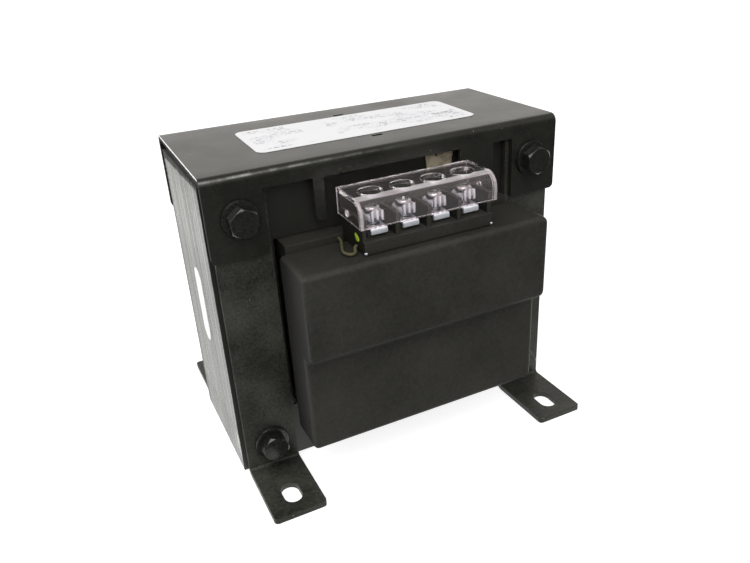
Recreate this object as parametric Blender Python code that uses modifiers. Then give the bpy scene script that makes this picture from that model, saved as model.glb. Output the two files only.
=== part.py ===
"""Control transformer: E-I core, folded top cover, four slotted feet, coil with moulded covers, and
two four-way terminal blocks under clear finger guards. Metres, +Z up, the front faces -Y. The origin
is on the floor, midway between the feet."""

import math

import bmesh
import bpy
from mathutils import Matrix, Vector

# Core, a stamped E-I lamination standing on its I bar
CORE_WIDTH = 0.1143
TONGUE = CORE_WIDTH / 3  # width of the middle leg
LEG = TONGUE / 2  # width of an outer leg
YOKE = TONGUE / 2  # height of the top yoke and of the I bar
WINDOW_HEIGHT = 0.05715
STACK = 0.045  # depth of the stacked laminations
CORE_LIFT = 0.001  # floor to the underside of the I bar
JOINT_GAP = 0.0003  # between the E legs and the I bar
HOLE_INSET = LEG / 2  # bolt hole centre from the core's edges

# Clearances
SEAT = 0.0003  # between pieces that touch
ROUND_END_SHARE = 0.495  # corner radius of a slot or label with round ends, of its width
SNUG = 0.00003  # under a label
BOLT_CLEARANCE = 0.0003  # round a bolt in its holes

# Folded sheet
COVER_SHEET = 0.0016
COVER_HEAD_ROOM = 0.00135  # core top to the cover's underside
COVER_BEND = 0.0024  # outer radius of its folds
TAB_DROP = 0.0242  # cover top to the end tabs' lower edges
TAB_WIDTH = 0.0166
STRIP_DROP = 0.0053  # cover top to the flange's edge between the tabs
FINGER_DROP = 0.0180
SLIM_FINGER = 0.0032
SLIM_FINGER_INSET = 0.01465  # left tab to the slim finger
BROAD_FINGER = 0.0117
BROAD_FINGER_INSET = 0.00695  # right tab to the broad finger
TAB_CORNER = 0.0014
SLIT_LENGTH = 0.0036
SLIT_WIDTH = 0.0013
SLIT_Y = 0.0148  # slit centre from the middle of the cover

BRACKET_SHEET = 0.0019
BRACKET_WIDTH = 0.0166
BRACKET_BEND = 0.0029
BRACKET_TOP_INSET = 0.0012  # core top to the bracket's upper end
FOOT_REACH = 0.02455  # bracket's outer face to the foot's tip
FOOT_CORNER = 0.0012
SLOT_WIDTH = 0.0056
SLOT_LENGTH = 0.0088
SLOT_FROM_TIP = 0.0088

# Fastenings
BOLT_RADIUS = 0.0024
HEAD_ACROSS = 0.0079
HEAD_HEIGHT = 0.0034
HEAD_CHAMFER = 0.0004
WASHER_RADIUS = 0.0056
WASHER_SHEET = 0.0010
NUT_HEIGHT = 0.0042
NUT_FLANGE_RADIUS = 0.0056
NUT_FLANGE_HEIGHT = 0.0011
BOLT_STICK_OUT = 0.0020  # bolt end past its nut

# Bobbin and windings
BOBBIN_WALL = 0.0015
FLANGE_SHEET = 0.0015
COLLAR_REACH = 0.0066  # core face to the collar's front
COLLAR_HEIGHT = 0.0039
FLANGE_CLEARANCE = 0.0011  # bobbin flanges to the window's outer walls
COIL_INSET = 0.00105  # flange edges to the coil's outside
PRIMARY_SHARE = 0.537  # of the copper's thickness, the secondary has the rest
INSULATION_BUILD = 0.0007
WRAP_BUILD = 0.0009
WINDING_GAP = 0.0003
WINDING_CORNER = 0.0030

# Moulded coil cover
SHELL_WALL = 0.0020
SHELL_CLEARANCE = 0.0015  # coil to the inside of the shell's lower half
SHELL_STEP_DEPTH = 0.0050  # the upper half stands this much further out
SHELL_TOP_INSET = 0.0019  # window's top to the shell's top
SHELL_UPPER_HEIGHT = 0.0266
SHELL_SKIRT = 0.00445  # reach below the window
SHELL_EDGE = 0.0018

# Terminal block
BLOCK_OFFSET = 0.0010  # block centre right of the middle, seen from the front
BLOCK_END = 0.00085  # outer terminals' share of the pitch to the block's ends
BLOCK_DEPTH = 0.0149
BLOCK_HEIGHT = 0.0036
BACK_WALL = 0.0010
TERMINAL_PITCH = 0.0098
TERMINAL_COUNT = 4
RIB = 0.0012
RIB_HEIGHT = 0.0100
PEDESTAL_INSET = 0.0033  # block front to the pedestals' fronts
PEDESTAL_HEIGHT = 0.0051
PEDESTAL_WIDTH = 0.0066
AXIS_INSET = 0.0070  # block front to the terminal screws' axes
RIB_GAP = 0.0018  # ribs to the terminal plates
PLATE_SHEET = 0.0008
PLATE_LIP = 0.0009  # drop of the bent front end below the plate
PLATE_BACK_LENGTH = 0.0042  # screw axis to the plate's back edge
CLAMP_INSET = 0.0002  # sides of the terminal plate to the clamp's
CLAMP_DEPTH = 0.0060
CLAMP_SHEET = 0.0010
CLAMP_LIP = 0.0006
CLAMP_OPENING = 0.0023  # terminal plate to the clamp, backed out
SCREW_RADIUS = 0.00175
SCREW_HEAD_RADIUS = 0.0024
SCREW_HEAD_HEIGHT = 0.0018
SCREW_SLOT = 0.0008
SCREW_SLOT_DEPTH = 0.0009
SCREW_SLOT_SHARE = 0.78  # reach of the cross slot's arms, of the head's radius
SCREW_REACH = 0.0011  # shank below the terminal plate's underside

# Clear finger guard
GUARD_WALL = 0.0013
GUARD_SIDE = 0.0008  # its end walls, which pass outside the block's ends
GUARD_HEADROOM = 0.0027  # screw heads to the guard's roof
GUARD_CLEARANCE = 0.0014  # terminal plates to the guard's front edge
GUARD_RISE = 0.0003  # its lower edges climb this much towards the back
GUARD_OVERHANG = 0.0006  # block front out to the guard's front
GUARD_ROUND = 0.0044
DRIVER_HOLE_RADIUS = 0.0035
LATCH_HOLE = 0.0022
LATCH_SHARE = 0.28  # its height, of the guard's
LATCH_FORWARD = 0.42  # its way from the guard's back, of the guard's depth

# Labels, paper and coil leads
LABEL_SIZE = (0.0730, 0.0256)
LABEL_SHEET = 0.00015
LABEL_CORNER = 0.0026
SIDE_LABEL_SIZE = (0.0082, 0.0252)
SIDE_LABEL_HEIGHT = 0.0518
SIDE_LABEL_Y = -0.0009
PAPER_WIDTH = 0.0093
PAPER_OFFSET = 0.01625  # its middle right of the core's
PAPER_SHEET = 0.0005
PAPER_DROP = 0.0050  # cover top to the paper's upper edge
LEAD_RADIUS = 0.00050
LEAD_STEPS = 4  # points between two of the route's own
LEAD_ROUTE = (  # shares of the block's depth: left of the block's end, forward of its back, up
    (0.08, 0.02, 0.00),
    (0.11, 0.20, 0.00),
    (0.20, 0.44, 0.00),
    (0.28, 0.70, 0.00),
    (0.21, 0.86, 0.00),
    (0.10, 0.83, 0.00),
    (0.05, 0.71, 0.04),
    (0.00, 0.67, 0.06),
)

# Heights and faces that follow from the sizes above
CORE_BOTTOM = CORE_LIFT
WINDOW_BOTTOM = CORE_BOTTOM + YOKE
WINDOW_TOP = WINDOW_BOTTOM + WINDOW_HEIGHT
CORE_TOP = WINDOW_TOP + YOKE
COVER_TOP = CORE_TOP + COVER_HEAD_ROOM + COVER_SHEET
CORE_FACE = STACK / 2
BRACKET_INNER = CORE_FACE + SEAT
BRACKET_OUTER = BRACKET_INNER + BRACKET_SHEET
FLANGE_INNER = BRACKET_OUTER + SEAT
FLANGE_OUTER = FLANGE_INNER + COVER_SHEET
BOLT_X = CORE_WIDTH / 2 - HOLE_INSET
BOLT_LOW = CORE_BOTTOM + HOLE_INSET
BOLT_HIGH = CORE_TOP - HOLE_INSET
HOLE_RADIUS = BOLT_RADIUS + BOLT_CLEARANCE
WINDOW_SIDE = CORE_WIDTH / 2 - LEG
TUBE_X = TONGUE / 2 + SEAT + BOBBIN_WALL
TUBE_Y = CORE_FACE + SEAT + BOBBIN_WALL
FLANGE_X = WINDOW_SIDE - FLANGE_CLEARANCE
COIL_BUILD = FLANGE_X - COIL_INSET - TUBE_X
COPPER = COIL_BUILD - INSULATION_BUILD - WRAP_BUILD - 4 * WINDING_GAP
COLLAR_FRONT = CORE_FACE + COLLAR_REACH
COLLAR_TOP = WINDOW_TOP - SEAT
SHELL_TOP = WINDOW_TOP - SHELL_TOP_INSET
SHELL_STEP = SHELL_TOP - SHELL_UPPER_HEIGHT
SHELL_BOTTOM = WINDOW_BOTTOM - SHELL_SKIRT
SHELL_HALF_WIDTH = FLANGE_X + SEAT + SHELL_WALL
SHELL_RIM = COLLAR_FRONT + SEAT
SHELL_LOWER = TUBE_Y + COIL_BUILD + SHELL_CLEARANCE + SHELL_WALL
SHELL_UPPER = SHELL_LOWER + SHELL_STEP_DEPTH
BLOCK_HALF_WIDTH = TERMINAL_COUNT * TERMINAL_PITCH / 2 + BLOCK_END
BLOCK_BOTTOM = SHELL_TOP + SEAT
BLOCK_TOP = BLOCK_BOTTOM + BLOCK_HEIGHT
BLOCK_BACK_Y = SHELL_RIM
BLOCK_FRONT_Y = BLOCK_BACK_Y + BLOCK_DEPTH
PEDESTAL_TOP = BLOCK_BOTTOM + PEDESTAL_HEIGHT
PLATE_WIDTH = TERMINAL_PITCH - RIB - 2 * RIB_GAP
PLATE_BOTTOM = PEDESTAL_TOP + SEAT
PLATE_TOP = PLATE_BOTTOM + PLATE_SHEET
CLAMP_BOTTOM = PLATE_TOP + CLAMP_OPENING
CLAMP_TOP = CLAMP_BOTTOM + CLAMP_SHEET
SCREW_SEAT = CLAMP_TOP + SEAT
TERMINAL_Y = BLOCK_FRONT_Y - AXIS_INSET
GUARD_TOP = SCREW_SEAT + SCREW_HEAD_HEIGHT + GUARD_HEADROOM + GUARD_WALL
GUARD_BOTTOM = PLATE_TOP + GUARD_CLEARANCE
GUARD_BACK_Y = BLOCK_BACK_Y
GUARD_FRONT_Y = BLOCK_FRONT_Y + GUARD_OVERHANG
HALF_TURN = Matrix.Rotation(math.pi, 4, "Z")


def clear_scene():
    for obj in list(bpy.data.objects):
        bpy.data.objects.remove(obj, do_unlink=True)


def new_collection(name):
    made = bpy.data.collections.new(name)
    bpy.context.scene.collection.children.link(made)
    return made


def material(name, colour, roughness, metallic, alpha=1.0):
    made = bpy.data.materials.new(name)
    made.use_nodes = True
    shader = made.node_tree.nodes["Principled BSDF"]
    shader.inputs["Base Color"].default_value = (*colour, 1.0)
    shader.inputs["Roughness"].default_value = roughness
    shader.inputs["Metallic"].default_value = metallic
    shader.inputs["Alpha"].default_value = alpha
    made.diffuse_color = (*colour, alpha)
    return made


def finish(obj, finish_name):
    """Gives the object a material of its own and smooth round faces."""
    colour, roughness, metallic, alpha = FINISHES[finish_name]
    obj.data.materials.clear()
    obj.data.materials.append(material(obj.name, colour, roughness, metallic, alpha))
    obj.data.shade_smooth()
    obj.data.set_sharp_from_angle(angle=math.radians(35))
    return obj


def mesh_object(name, mesh, collection):
    obj = bpy.data.objects.new(name, mesh)
    collection.objects.link(obj)
    return obj


def baked(obj):
    """The object with its modifiers turned into plain mesh, its loose caps welded."""
    graph = bpy.context.evaluated_depsgraph_get()
    mesh = bpy.data.meshes.new_from_object(obj.evaluated_get(graph))
    work = bmesh.new()
    work.from_mesh(mesh)
    bmesh.ops.remove_doubles(work, verts=work.verts, dist=1e-6)
    bmesh.ops.recalc_face_normals(work, faces=work.faces)
    work.to_mesh(mesh)
    work.free()
    name, home, place = obj.name, obj.users_collection[0], obj.matrix_world.copy()
    bpy.data.objects.remove(obj, do_unlink=True)
    made = mesh_object(name, mesh, home)
    made.matrix_world = place
    return made


def rounded(corners, radius, steps=3):
    """Corner points with each corner turned into an arc. radius is one size, or one for each corner."""
    count = len(corners)
    radii = [radius] * count if isinstance(radius, (int, float)) else radius
    path = []
    for i, corner in enumerate(corners):
        here = Vector(corner)
        before = (Vector(corners[i - 1]) - here).normalized()
        after = (Vector(corners[(i + 1) % count]) - here).normalized()
        half = before.angle(after) / 2
        if radii[i] <= 0 or half > math.radians(89):
            path.append(here)
            continue
        centre = here + (before + after).normalized() * (radii[i] / math.sin(half))
        start = here + before * (radii[i] / math.tan(half)) - centre
        end = here + after * (radii[i] / math.tan(half)) - centre
        sweep = start.angle_signed(end)
        for k in range(steps + 1):
            path.append(centre + Matrix.Rotation(-sweep * k / steps, 2) @ start)
    return path


def rectangle(x0, x1, y0, y1):
    return [(x0, y0), (x1, y0), (x1, y1), (x0, y1)]


def centred(x, y, across, along):
    return rectangle(x - across / 2, x + across / 2, y - along / 2, y + along / 2)


def circle(x, y, radius, steps=16):
    turns = [2 * math.pi * (k + 0.5) / steps for k in range(steps)]
    return [(x + radius * math.cos(a), y + radius * math.sin(a)) for a in turns]


PLANES = {
    "XY": Matrix.Identity(4),
    "XZ": Matrix(((1, 0, 0, 0), (0, 0, -1, 0), (0, 1, 0, 0), (0, 0, 0, 1))),
    "YZ": Matrix(((0, 0, 1, 0), (1, 0, 0, 0), (0, 1, 0, 0), (0, 0, 0, 1))),
}


def slab(name, loops, low, high, plane="XY", collection=None):
    """A flat outline with holes, from low to high along the third axis."""
    curve = bpy.data.curves.new(name, "CURVE")
    curve.dimensions = "2D"
    curve.fill_mode = "BOTH"
    curve.extrude = (high - low) / 2
    for loop in loops:
        spline = curve.splines.new("POLY")
        spline.points.add(len(loop) - 1)
        spline.use_cyclic_u = True
        for point, place in zip(spline.points, loop):
            point.co = (place[0], place[1], 0, 1)
    obj = bpy.data.objects.new(name, curve)
    (collection or PARTS).objects.link(obj)
    bpy.context.view_layer.update()
    made = baked(obj)
    middle = (low + high) / 2
    shift = {"XY": (0, 0, middle), "XZ": (0, middle, 0), "YZ": (middle, 0, 0)}[plane]
    made.data.transform(Matrix.Translation(shift) @ PLANES[plane])
    return made


def turned(name, profile, steps=24, collection=None):
    """A profile of (radius, height) points, run top to bottom down its outer side, turned about Z."""
    mesh = bpy.data.meshes.new(name)
    edges = [(i, i + 1) for i in range(len(profile) - 1)]
    mesh.from_pydata([(r, 0, z) for r, z in profile], edges, [])
    obj = mesh_object(name, mesh, collection or PARTS)
    screw = obj.modifiers.new("Turn", "SCREW")
    screw.steps = steps
    screw.render_steps = steps
    screw.use_merge_vertices = True
    screw.merge_threshold = 1e-6
    screw.use_normal_calculate = False
    bpy.context.view_layer.update()
    return baked(obj)


def hexagon(name, across, low, high, chamfer, collection=None):
    """A hexagonal prism along Z with its upper corners turned off."""
    mesh = bpy.data.meshes.new(name)
    work = bmesh.new()
    size = across / math.sqrt(3)
    bmesh.ops.create_cone(
        work, cap_ends=True, segments=6, radius1=size, radius2=size, depth=high - low
    )
    bmesh.ops.translate(work, verts=work.verts, vec=(0, 0, (low + high) / 2))
    work.to_mesh(mesh)
    work.free()
    obj = mesh_object(name, mesh, collection or PARTS)
    wide = size + chamfer
    profile = [
        (0, high),
        (size - chamfer, high),
        (wide, high - chamfer),
        (wide, low - chamfer),
        (0, low - chamfer),
    ]
    return cut(obj, turned(name + "_rim", profile, 18, CUTTERS), "INTERSECT")


def cut(obj, tool, operation="DIFFERENCE"):
    """Cuts, joins or intersects with the tool, then drops the tool."""
    tool.hide_render = True
    tool.display_type = "WIRE"
    boolean = obj.modifiers.new(tool.name, "BOOLEAN")
    boolean.operation = operation
    boolean.solver = "EXACT"
    boolean.object = tool
    bpy.context.view_layer.update()
    made = baked(obj)
    bpy.data.objects.remove(tool, do_unlink=True)
    return made


def drilled(obj, centres, radius, low, high, plane="XZ", steps=16):
    """Round holes through the object at each centre, from low to high along the third axis."""
    for k, (u, v) in enumerate(centres):
        hole = slab(f"hole_{k}", [circle(u, v, radius, steps)], low, high, plane, CUTTERS)
        obj = cut(obj, hole)
    return obj


def bevelled(obj, width, segments=2, angle=30):
    bevel = obj.modifiers.new("Edges", "BEVEL")
    bevel.width = width
    bevel.segments = segments
    bevel.limit_method = "ANGLE"
    bevel.angle_limit = math.radians(angle)
    bpy.context.view_layer.update()
    return baked(obj)


def copy_of(obj, name, place):
    """Another of the same piece, moved by the matrix place."""
    made = mesh_object(name, obj.data.copy(), PARTS)
    made.matrix_world = place @ obj.matrix_world
    return made


def laminations():
    """The E stack, yoke up and legs down, and the I bar under it, with a bolt hole in each corner."""
    side = CORE_WIDTH / 2
    legs_end = WINDOW_BOTTOM + JOINT_GAP / 2
    outline = [
        (-side, legs_end),
        (-side + LEG, legs_end),
        (-side + LEG, WINDOW_TOP),
        (-TONGUE / 2, WINDOW_TOP),
        (-TONGUE / 2, legs_end),
        (TONGUE / 2, legs_end),
        (TONGUE / 2, WINDOW_TOP),
        (side - LEG, WINDOW_TOP),
        (side - LEG, legs_end),
        (side, legs_end),
        (side, CORE_TOP),
        (-side, CORE_TOP),
    ]
    high_holes = [circle(x, BOLT_HIGH, HOLE_RADIUS) for x in (-BOLT_X, BOLT_X)]
    low_holes = [circle(x, BOLT_LOW, HOLE_RADIUS) for x in (-BOLT_X, BOLT_X)]
    bar = rectangle(-side, side, CORE_BOTTOM, WINDOW_BOTTOM - JOINT_GAP / 2)
    e_stack = slab("e_laminations", [outline, *high_holes], -CORE_FACE, CORE_FACE, "XZ")
    i_stack = slab("i_laminations", [bar, *low_holes], -CORE_FACE, CORE_FACE, "XZ")
    finish(e_stack, "core")
    finish(i_stack, "core")


def folded_channel():
    """Section of the top cover across Y: a sheet with two bends, open below."""
    low = COVER_TOP - TAB_DROP
    outer = [
        (-FLANGE_OUTER, low),
        (-FLANGE_INNER, low),
        (-FLANGE_INNER, COVER_TOP - COVER_SHEET),
        (FLANGE_INNER, COVER_TOP - COVER_SHEET),
        (FLANGE_INNER, low),
        (FLANGE_OUTER, low),
        (FLANGE_OUTER, COVER_TOP),
        (-FLANGE_OUTER, COVER_TOP),
    ]
    inner_bend = COVER_BEND - COVER_SHEET
    return rounded(outer, [0, 0, inner_bend, inner_bend, 0, 0, COVER_BEND, COVER_BEND], 4)


def flange_opening():
    """What is cut from a flange between its end tabs, round the two fingers."""
    below = COVER_TOP - 2 * TAB_DROP
    strip = COVER_TOP - STRIP_DROP
    finger = COVER_TOP - FINGER_DROP
    tab = CORE_WIDTH / 2 - TAB_WIDTH
    slim = -tab + SLIM_FINGER_INSET
    broad = tab - BROAD_FINGER_INSET
    corners = [
        (-tab, below),
        (-tab, strip),
        (slim, strip),
        (slim, finger),
        (slim + SLIM_FINGER, finger),
        (slim + SLIM_FINGER, strip),
        (broad - BROAD_FINGER, strip),
        (broad - BROAD_FINGER, finger),
        (broad, finger),
        (broad, strip),
        (tab, strip),
        (tab, below),
    ]
    small = TAB_CORNER / 3
    radii = [small] * len(corners)
    radii[0] = radii[-1] = 0
    radii[3] = radii[8] = TAB_CORNER
    return rounded(corners, radii)


def top_cover():
    side = CORE_WIDTH / 2
    cover = slab("top_cover", [folded_channel()], -side, side, "YZ")
    reach = FLANGE_OUTER + COVER_BEND
    inside = -FLANGE_INNER + COVER_SHEET
    for turn in (Matrix.Identity(4), HALF_TURN):
        opening = slab("opening", [flange_opening()], -reach, inside, "XZ", CUTTERS)
        opening.data.transform(turn)
        cover = cut(cover, opening)
    corners = rectangle(-side, side, COVER_TOP - TAB_DROP, COVER_TOP + COVER_SHEET)
    outline = rounded(corners, [TAB_CORNER, TAB_CORNER, 0, 0])
    cover = cut(cover, slab("outline", [outline], -reach, reach, "XZ", CUTTERS), "INTERSECT")
    cover = drilled(cover, [(-BOLT_X, BOLT_HIGH), (BOLT_X, BOLT_HIGH)], HOLE_RADIUS, -reach, reach)
    for y in (-SLIT_Y, SLIT_Y):
        slit = rounded(centred(0, y, SLIT_LENGTH, SLIT_WIDTH), SLIT_WIDTH / 3, 2)
        cover = cut(cover, slab("slit", [slit], CORE_TOP, 2 * COVER_TOP, "XY", CUTTERS))
    finish(cover, "black_paint")


def bracket_shape():
    """An angle bracket on the core's front: upright to the cover, foot turned out along the floor."""
    tip = BRACKET_OUTER + FOOT_REACH
    head = CORE_TOP - BRACKET_TOP_INSET
    section = [
        (-tip, 0),
        (-BRACKET_INNER, 0),
        (-BRACKET_INNER, head),
        (-BRACKET_OUTER, head),
        (-BRACKET_OUTER, BRACKET_SHEET),
        (-tip, BRACKET_SHEET),
    ]
    bends = [0, BRACKET_BEND, 0, 0, BRACKET_BEND - BRACKET_SHEET, 0]
    half = BRACKET_WIDTH / 2
    bracket = slab("bracket", [rounded(section, bends, 4)], -half, half, "YZ")
    plan = rounded(rectangle(-half, half, -tip, 0), [FOOT_CORNER, FOOT_CORNER, 0, 0])
    plan = slab("plan", [plan], -BRACKET_SHEET, CORE_TOP, "XY", CUTTERS)
    bracket = cut(bracket, plan, "INTERSECT")
    bolt_holes = [(0, BOLT_LOW), (0, BOLT_HIGH)]
    bracket = drilled(bracket, bolt_holes, HOLE_RADIUS, -BRACKET_OUTER - SEAT, -CORE_FACE)
    slot = centred(0, -tip + SLOT_FROM_TIP, SLOT_WIDTH, SLOT_LENGTH)
    slot = rounded(slot, SLOT_WIDTH * ROUND_END_SHARE, 5)
    return cut(bracket, slab("slot", [slot], -BRACKET_SHEET, 2 * BRACKET_SHEET, "XY", CUTTERS))


def brackets():
    shape = bracket_shape()
    for name, x, turn in (
        ("foot_bracket_front_left", -BOLT_X, Matrix.Identity(4)),
        ("foot_bracket_front_right", BOLT_X, Matrix.Identity(4)),
        ("foot_bracket_rear_left", BOLT_X, HALF_TURN),
        ("foot_bracket_rear_right", -BOLT_X, HALF_TURN),
    ):
        finish(copy_of(shape, name, turn @ Matrix.Translation((x, 0, 0))), "black_paint")
    bpy.data.objects.remove(shape, do_unlink=True)


def along_y(x, y, z):
    """A place whose local +Z points to the front."""
    return Matrix.Translation((x, y, z)) @ Matrix.Rotation(math.radians(90), 4, "X")


def washer_shape():
    profile = [
        (HOLE_RADIUS, WASHER_SHEET),
        (WASHER_RADIUS - WASHER_SHEET / 4, WASHER_SHEET),
        (WASHER_RADIUS, WASHER_SHEET * 3 / 4),
        (WASHER_RADIUS, 0),
        (HOLE_RADIUS, 0),
        (HOLE_RADIUS, WASHER_SHEET),
    ]
    return turned("washer", profile, 28)


def nut_shape():
    nut = hexagon("nut", HEAD_ACROSS, 0, NUT_HEIGHT, HEAD_CHAMFER)
    skirt = [
        (0, NUT_FLANGE_HEIGHT),
        (HEAD_ACROSS / 2, NUT_FLANGE_HEIGHT),
        (NUT_FLANGE_RADIUS, NUT_FLANGE_HEIGHT / 2),
        (NUT_FLANGE_RADIUS, 0),
        (0, 0),
    ]
    nut = cut(nut, turned("skirt", skirt, 24, CUTTERS), "UNION")
    return drilled(nut, [(0, 0)], HOLE_RADIUS, -NUT_HEIGHT, 2 * NUT_HEIGHT, "XY")


def bolt_shape(length):
    """Head above the seat at z = 0, shank below it."""
    head = hexagon("bolt", HEAD_ACROSS, 0, HEAD_HEIGHT, HEAD_CHAMFER)
    profile = [
        (0, HEAD_HEIGHT / 2),
        (BOLT_RADIUS, HEAD_HEIGHT / 2),
        (BOLT_RADIUS, BOLT_RADIUS / 3 - length),
        (BOLT_RADIUS * 2 / 3, -length),
        (0, -length),
    ]
    return cut(head, turned("shank", profile, 16, CUTTERS), "UNION")


def fastenings():
    """Bolts from front to back: the upper ones outside the tabs, the lower ones on the brackets."""
    washer = washer_shape()
    nut = nut_shape()
    for level, z, face in (("upper", BOLT_HIGH, FLANGE_OUTER), ("lower", BOLT_LOW, BRACKET_OUTER)):
        seat = face + SEAT + WASHER_SHEET + SEAT
        nut_face = face + SEAT
        length = seat + nut_face + NUT_HEIGHT + BOLT_STICK_OUT
        bolt = bolt_shape(length)
        for hand, x in (("left", -BOLT_X), ("right", BOLT_X)):
            front = along_y(x, -face - SEAT, z)
            finish(copy_of(washer, f"washer_{level}_{hand}", front), "black_steel")
            finish(copy_of(bolt, f"bolt_{level}_{hand}", along_y(x, -seat, z)), "black_steel")
            rear = along_y(x, nut_face, z) @ Matrix.Rotation(math.pi, 4, "X")
            finish(copy_of(nut, f"nut_{level}_{hand}", rear), "black_steel")
        bpy.data.objects.remove(bolt, do_unlink=True)
    for spare in (washer, nut):
        bpy.data.objects.remove(spare, do_unlink=True)


def bobbin():
    """A tube round the tongue with a flange at each end, the upper one under a raised collar."""
    flange_y = SHELL_LOWER - SHELL_WALL - SEAT
    low = WINDOW_BOTTOM + SEAT
    upper = COLLAR_TOP - COLLAR_HEIGHT
    tongue_hole = centred(0, 0, 2 * (TUBE_X - BOBBIN_WALL), 2 * (TUBE_Y - BOBBIN_WALL))
    plate = rounded(centred(0, 0, 2 * FLANGE_X, 2 * flange_y), SHELL_EDGE)
    tube = rounded(centred(0, 0, 2 * TUBE_X, 2 * TUBE_Y), BOBBIN_WALL / 2)
    collar = centred(0, 0, 2 * FLANGE_X, 2 * COLLAR_FRONT)
    body = slab("bobbin", [tube], low + FLANGE_SHEET / 2, COLLAR_TOP - COLLAR_HEIGHT / 2)
    for name, outline, bottom, top in (
        ("lower_flange", plate, low, low + FLANGE_SHEET),
        ("upper_flange", plate, upper - FLANGE_SHEET, upper),
        ("collar", collar, upper - FLANGE_SHEET / 2, COLLAR_TOP),
    ):
        body = cut(body, slab(name, [outline], bottom, top, "XY", CUTTERS), "UNION")
    body = cut(body, slab("tongue_hole", [tongue_hole], 0, COVER_TOP, "XY", CUTTERS))
    finish(body, "nylon")


def windings():
    """Four closed rings on the bobbin, each round the one inside it."""
    low = WINDOW_BOTTOM + SEAT + FLANGE_SHEET + SEAT
    high = COLLAR_TOP - COLLAR_HEIGHT - FLANGE_SHEET - SEAT
    x = TUBE_X
    y = TUBE_Y
    corner = WINDING_CORNER / 3
    for name, build, look in (
        ("primary_winding", COPPER * PRIMARY_SHARE, "copper"),
        ("winding_insulation", INSULATION_BUILD, "paper"),
        ("secondary_winding", COPPER * (1 - PRIMARY_SHARE), "copper"),
        ("coil_wrap", WRAP_BUILD, "wrap"),
    ):
        x += WINDING_GAP
        y += WINDING_GAP
        inner = rounded(centred(0, 0, 2 * x, 2 * y), corner)
        x += build
        y += build
        corner += build / 2
        outer = rounded(centred(0, 0, 2 * x, 2 * y), corner)
        finish(slab(name, [outer, inner], low, high), look)


def shell_section(inset):
    """Side view of the coil cover, or of its hollow when inset by the wall."""
    rim = SHELL_RIM - (SHELL_WALL if inset else 0)
    corners = [
        (-rim, SHELL_BOTTOM + inset),
        (-rim, SHELL_TOP - inset),
        (-SHELL_UPPER + inset, SHELL_TOP - inset),
        (-SHELL_UPPER + inset, SHELL_STEP + inset),
        (-SHELL_LOWER + inset, SHELL_STEP - SHELL_EDGE + inset),
        (-SHELL_LOWER + inset, SHELL_BOTTOM + inset),
    ]
    return corners


def coil_cover():
    """A moulded box open at the back, deeper above the step."""
    half = SHELL_HALF_WIDTH
    shell = slab("coil_cover_front", [shell_section(0)], -half, half, "YZ")
    shell = bevelled(shell, SHELL_EDGE, 3)
    inside = half - SHELL_WALL
    hollow = slab("hollow", [shell_section(SHELL_WALL)], -inside, inside, "YZ", CUTTERS)
    shell = cut(shell, hollow)
    behind = rectangle(-half - SEAT, half + SEAT, 0, COVER_TOP)
    shell = cut(shell, slab("mouth", [behind], -SHELL_RIM, 0, "XZ", CUTTERS))
    finish(copy_of(shell, "coil_cover_rear", HALF_TURN), "black_plastic")
    finish(shell, "black_plastic")


def terminal_x():
    first = BLOCK_OFFSET - TERMINAL_PITCH * (TERMINAL_COUNT - 1) / 2
    return [first + TERMINAL_PITCH * k for k in range(TERMINAL_COUNT)]


def terminal_block():
    """Base with a pedestal under each terminal plate, ribs between and at the ends, and a back wall."""
    left = BLOCK_OFFSET - BLOCK_HALF_WIDTH
    right = BLOCK_OFFSET + BLOCK_HALF_WIDTH
    foot = rectangle(left, right, -BLOCK_FRONT_Y, -BLOCK_BACK_Y)
    base = slab("terminal_block_front", [foot], BLOCK_BOTTOM, BLOCK_TOP)
    back = -BLOCK_BACK_Y
    into_wall = back - BACK_WALL / 2
    pedestal_y = -BLOCK_FRONT_Y + PEDESTAL_INSET
    rib_y = -GUARD_FRONT_Y + GUARD_WALL + SEAT
    low = BLOCK_TOP - BLOCK_HEIGHT / 2
    pieces = [((left, right, back - BACK_WALL, back), GUARD_TOP - GUARD_WALL - SEAT)]
    ribs = [left + RIB / 2, right - RIB / 2]
    for k in range(1, TERMINAL_COUNT):
        ribs.append(BLOCK_OFFSET + TERMINAL_PITCH * (k - TERMINAL_COUNT / 2))
    for x in ribs:
        sides = (x - RIB / 2, x + RIB / 2, rib_y, into_wall)
        pieces.append((sides, BLOCK_BOTTOM + RIB_HEIGHT))
    for x in terminal_x():
        sides = (x - PEDESTAL_WIDTH / 2, x + PEDESTAL_WIDTH / 2, pedestal_y, into_wall)
        pieces.append((sides, PEDESTAL_TOP))
    for sides, top in pieces:
        base = cut(base, slab("raised", [rectangle(*sides)], low, top, "XY", CUTTERS), "UNION")
    centres = [(x, -TERMINAL_Y) for x in terminal_x()]
    depth = PLATE_BOTTOM - SCREW_REACH - CLAMP_OPENING - SEAT
    base = drilled(base, centres, SCREW_RADIUS + SEAT, depth, COVER_TOP, "XY", 12)
    finish(copy_of(base, "terminal_block_rear", HALF_TURN), "black_plastic")
    finish(base, "black_plastic")


def terminal_plate():
    """Tinned strip under the clamp, its front end bent down, with a clearance hole for the screw."""
    front = BLOCK_FRONT_Y - TERMINAL_Y - PEDESTAL_INSET + SEAT
    half = PLATE_WIDTH / 2
    section = [
        (-front - PLATE_SHEET, -PLATE_LIP),
        (-front, -PLATE_LIP),
        (-front, 0),
        (PLATE_BACK_LENGTH, 0),
        (PLATE_BACK_LENGTH, PLATE_SHEET),
        (-front - PLATE_SHEET, PLATE_SHEET),
    ]
    bends = [0, 0, PLATE_SHEET / 4, 0, 0, PLATE_SHEET]
    plate = slab("plate", [rounded(section, bends)], -half, half, "YZ")
    return drilled(plate, [(0, 0)], SCREW_RADIUS + SEAT, -PLATE_LIP, PLATE_LIP, "XY", 12)


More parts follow.
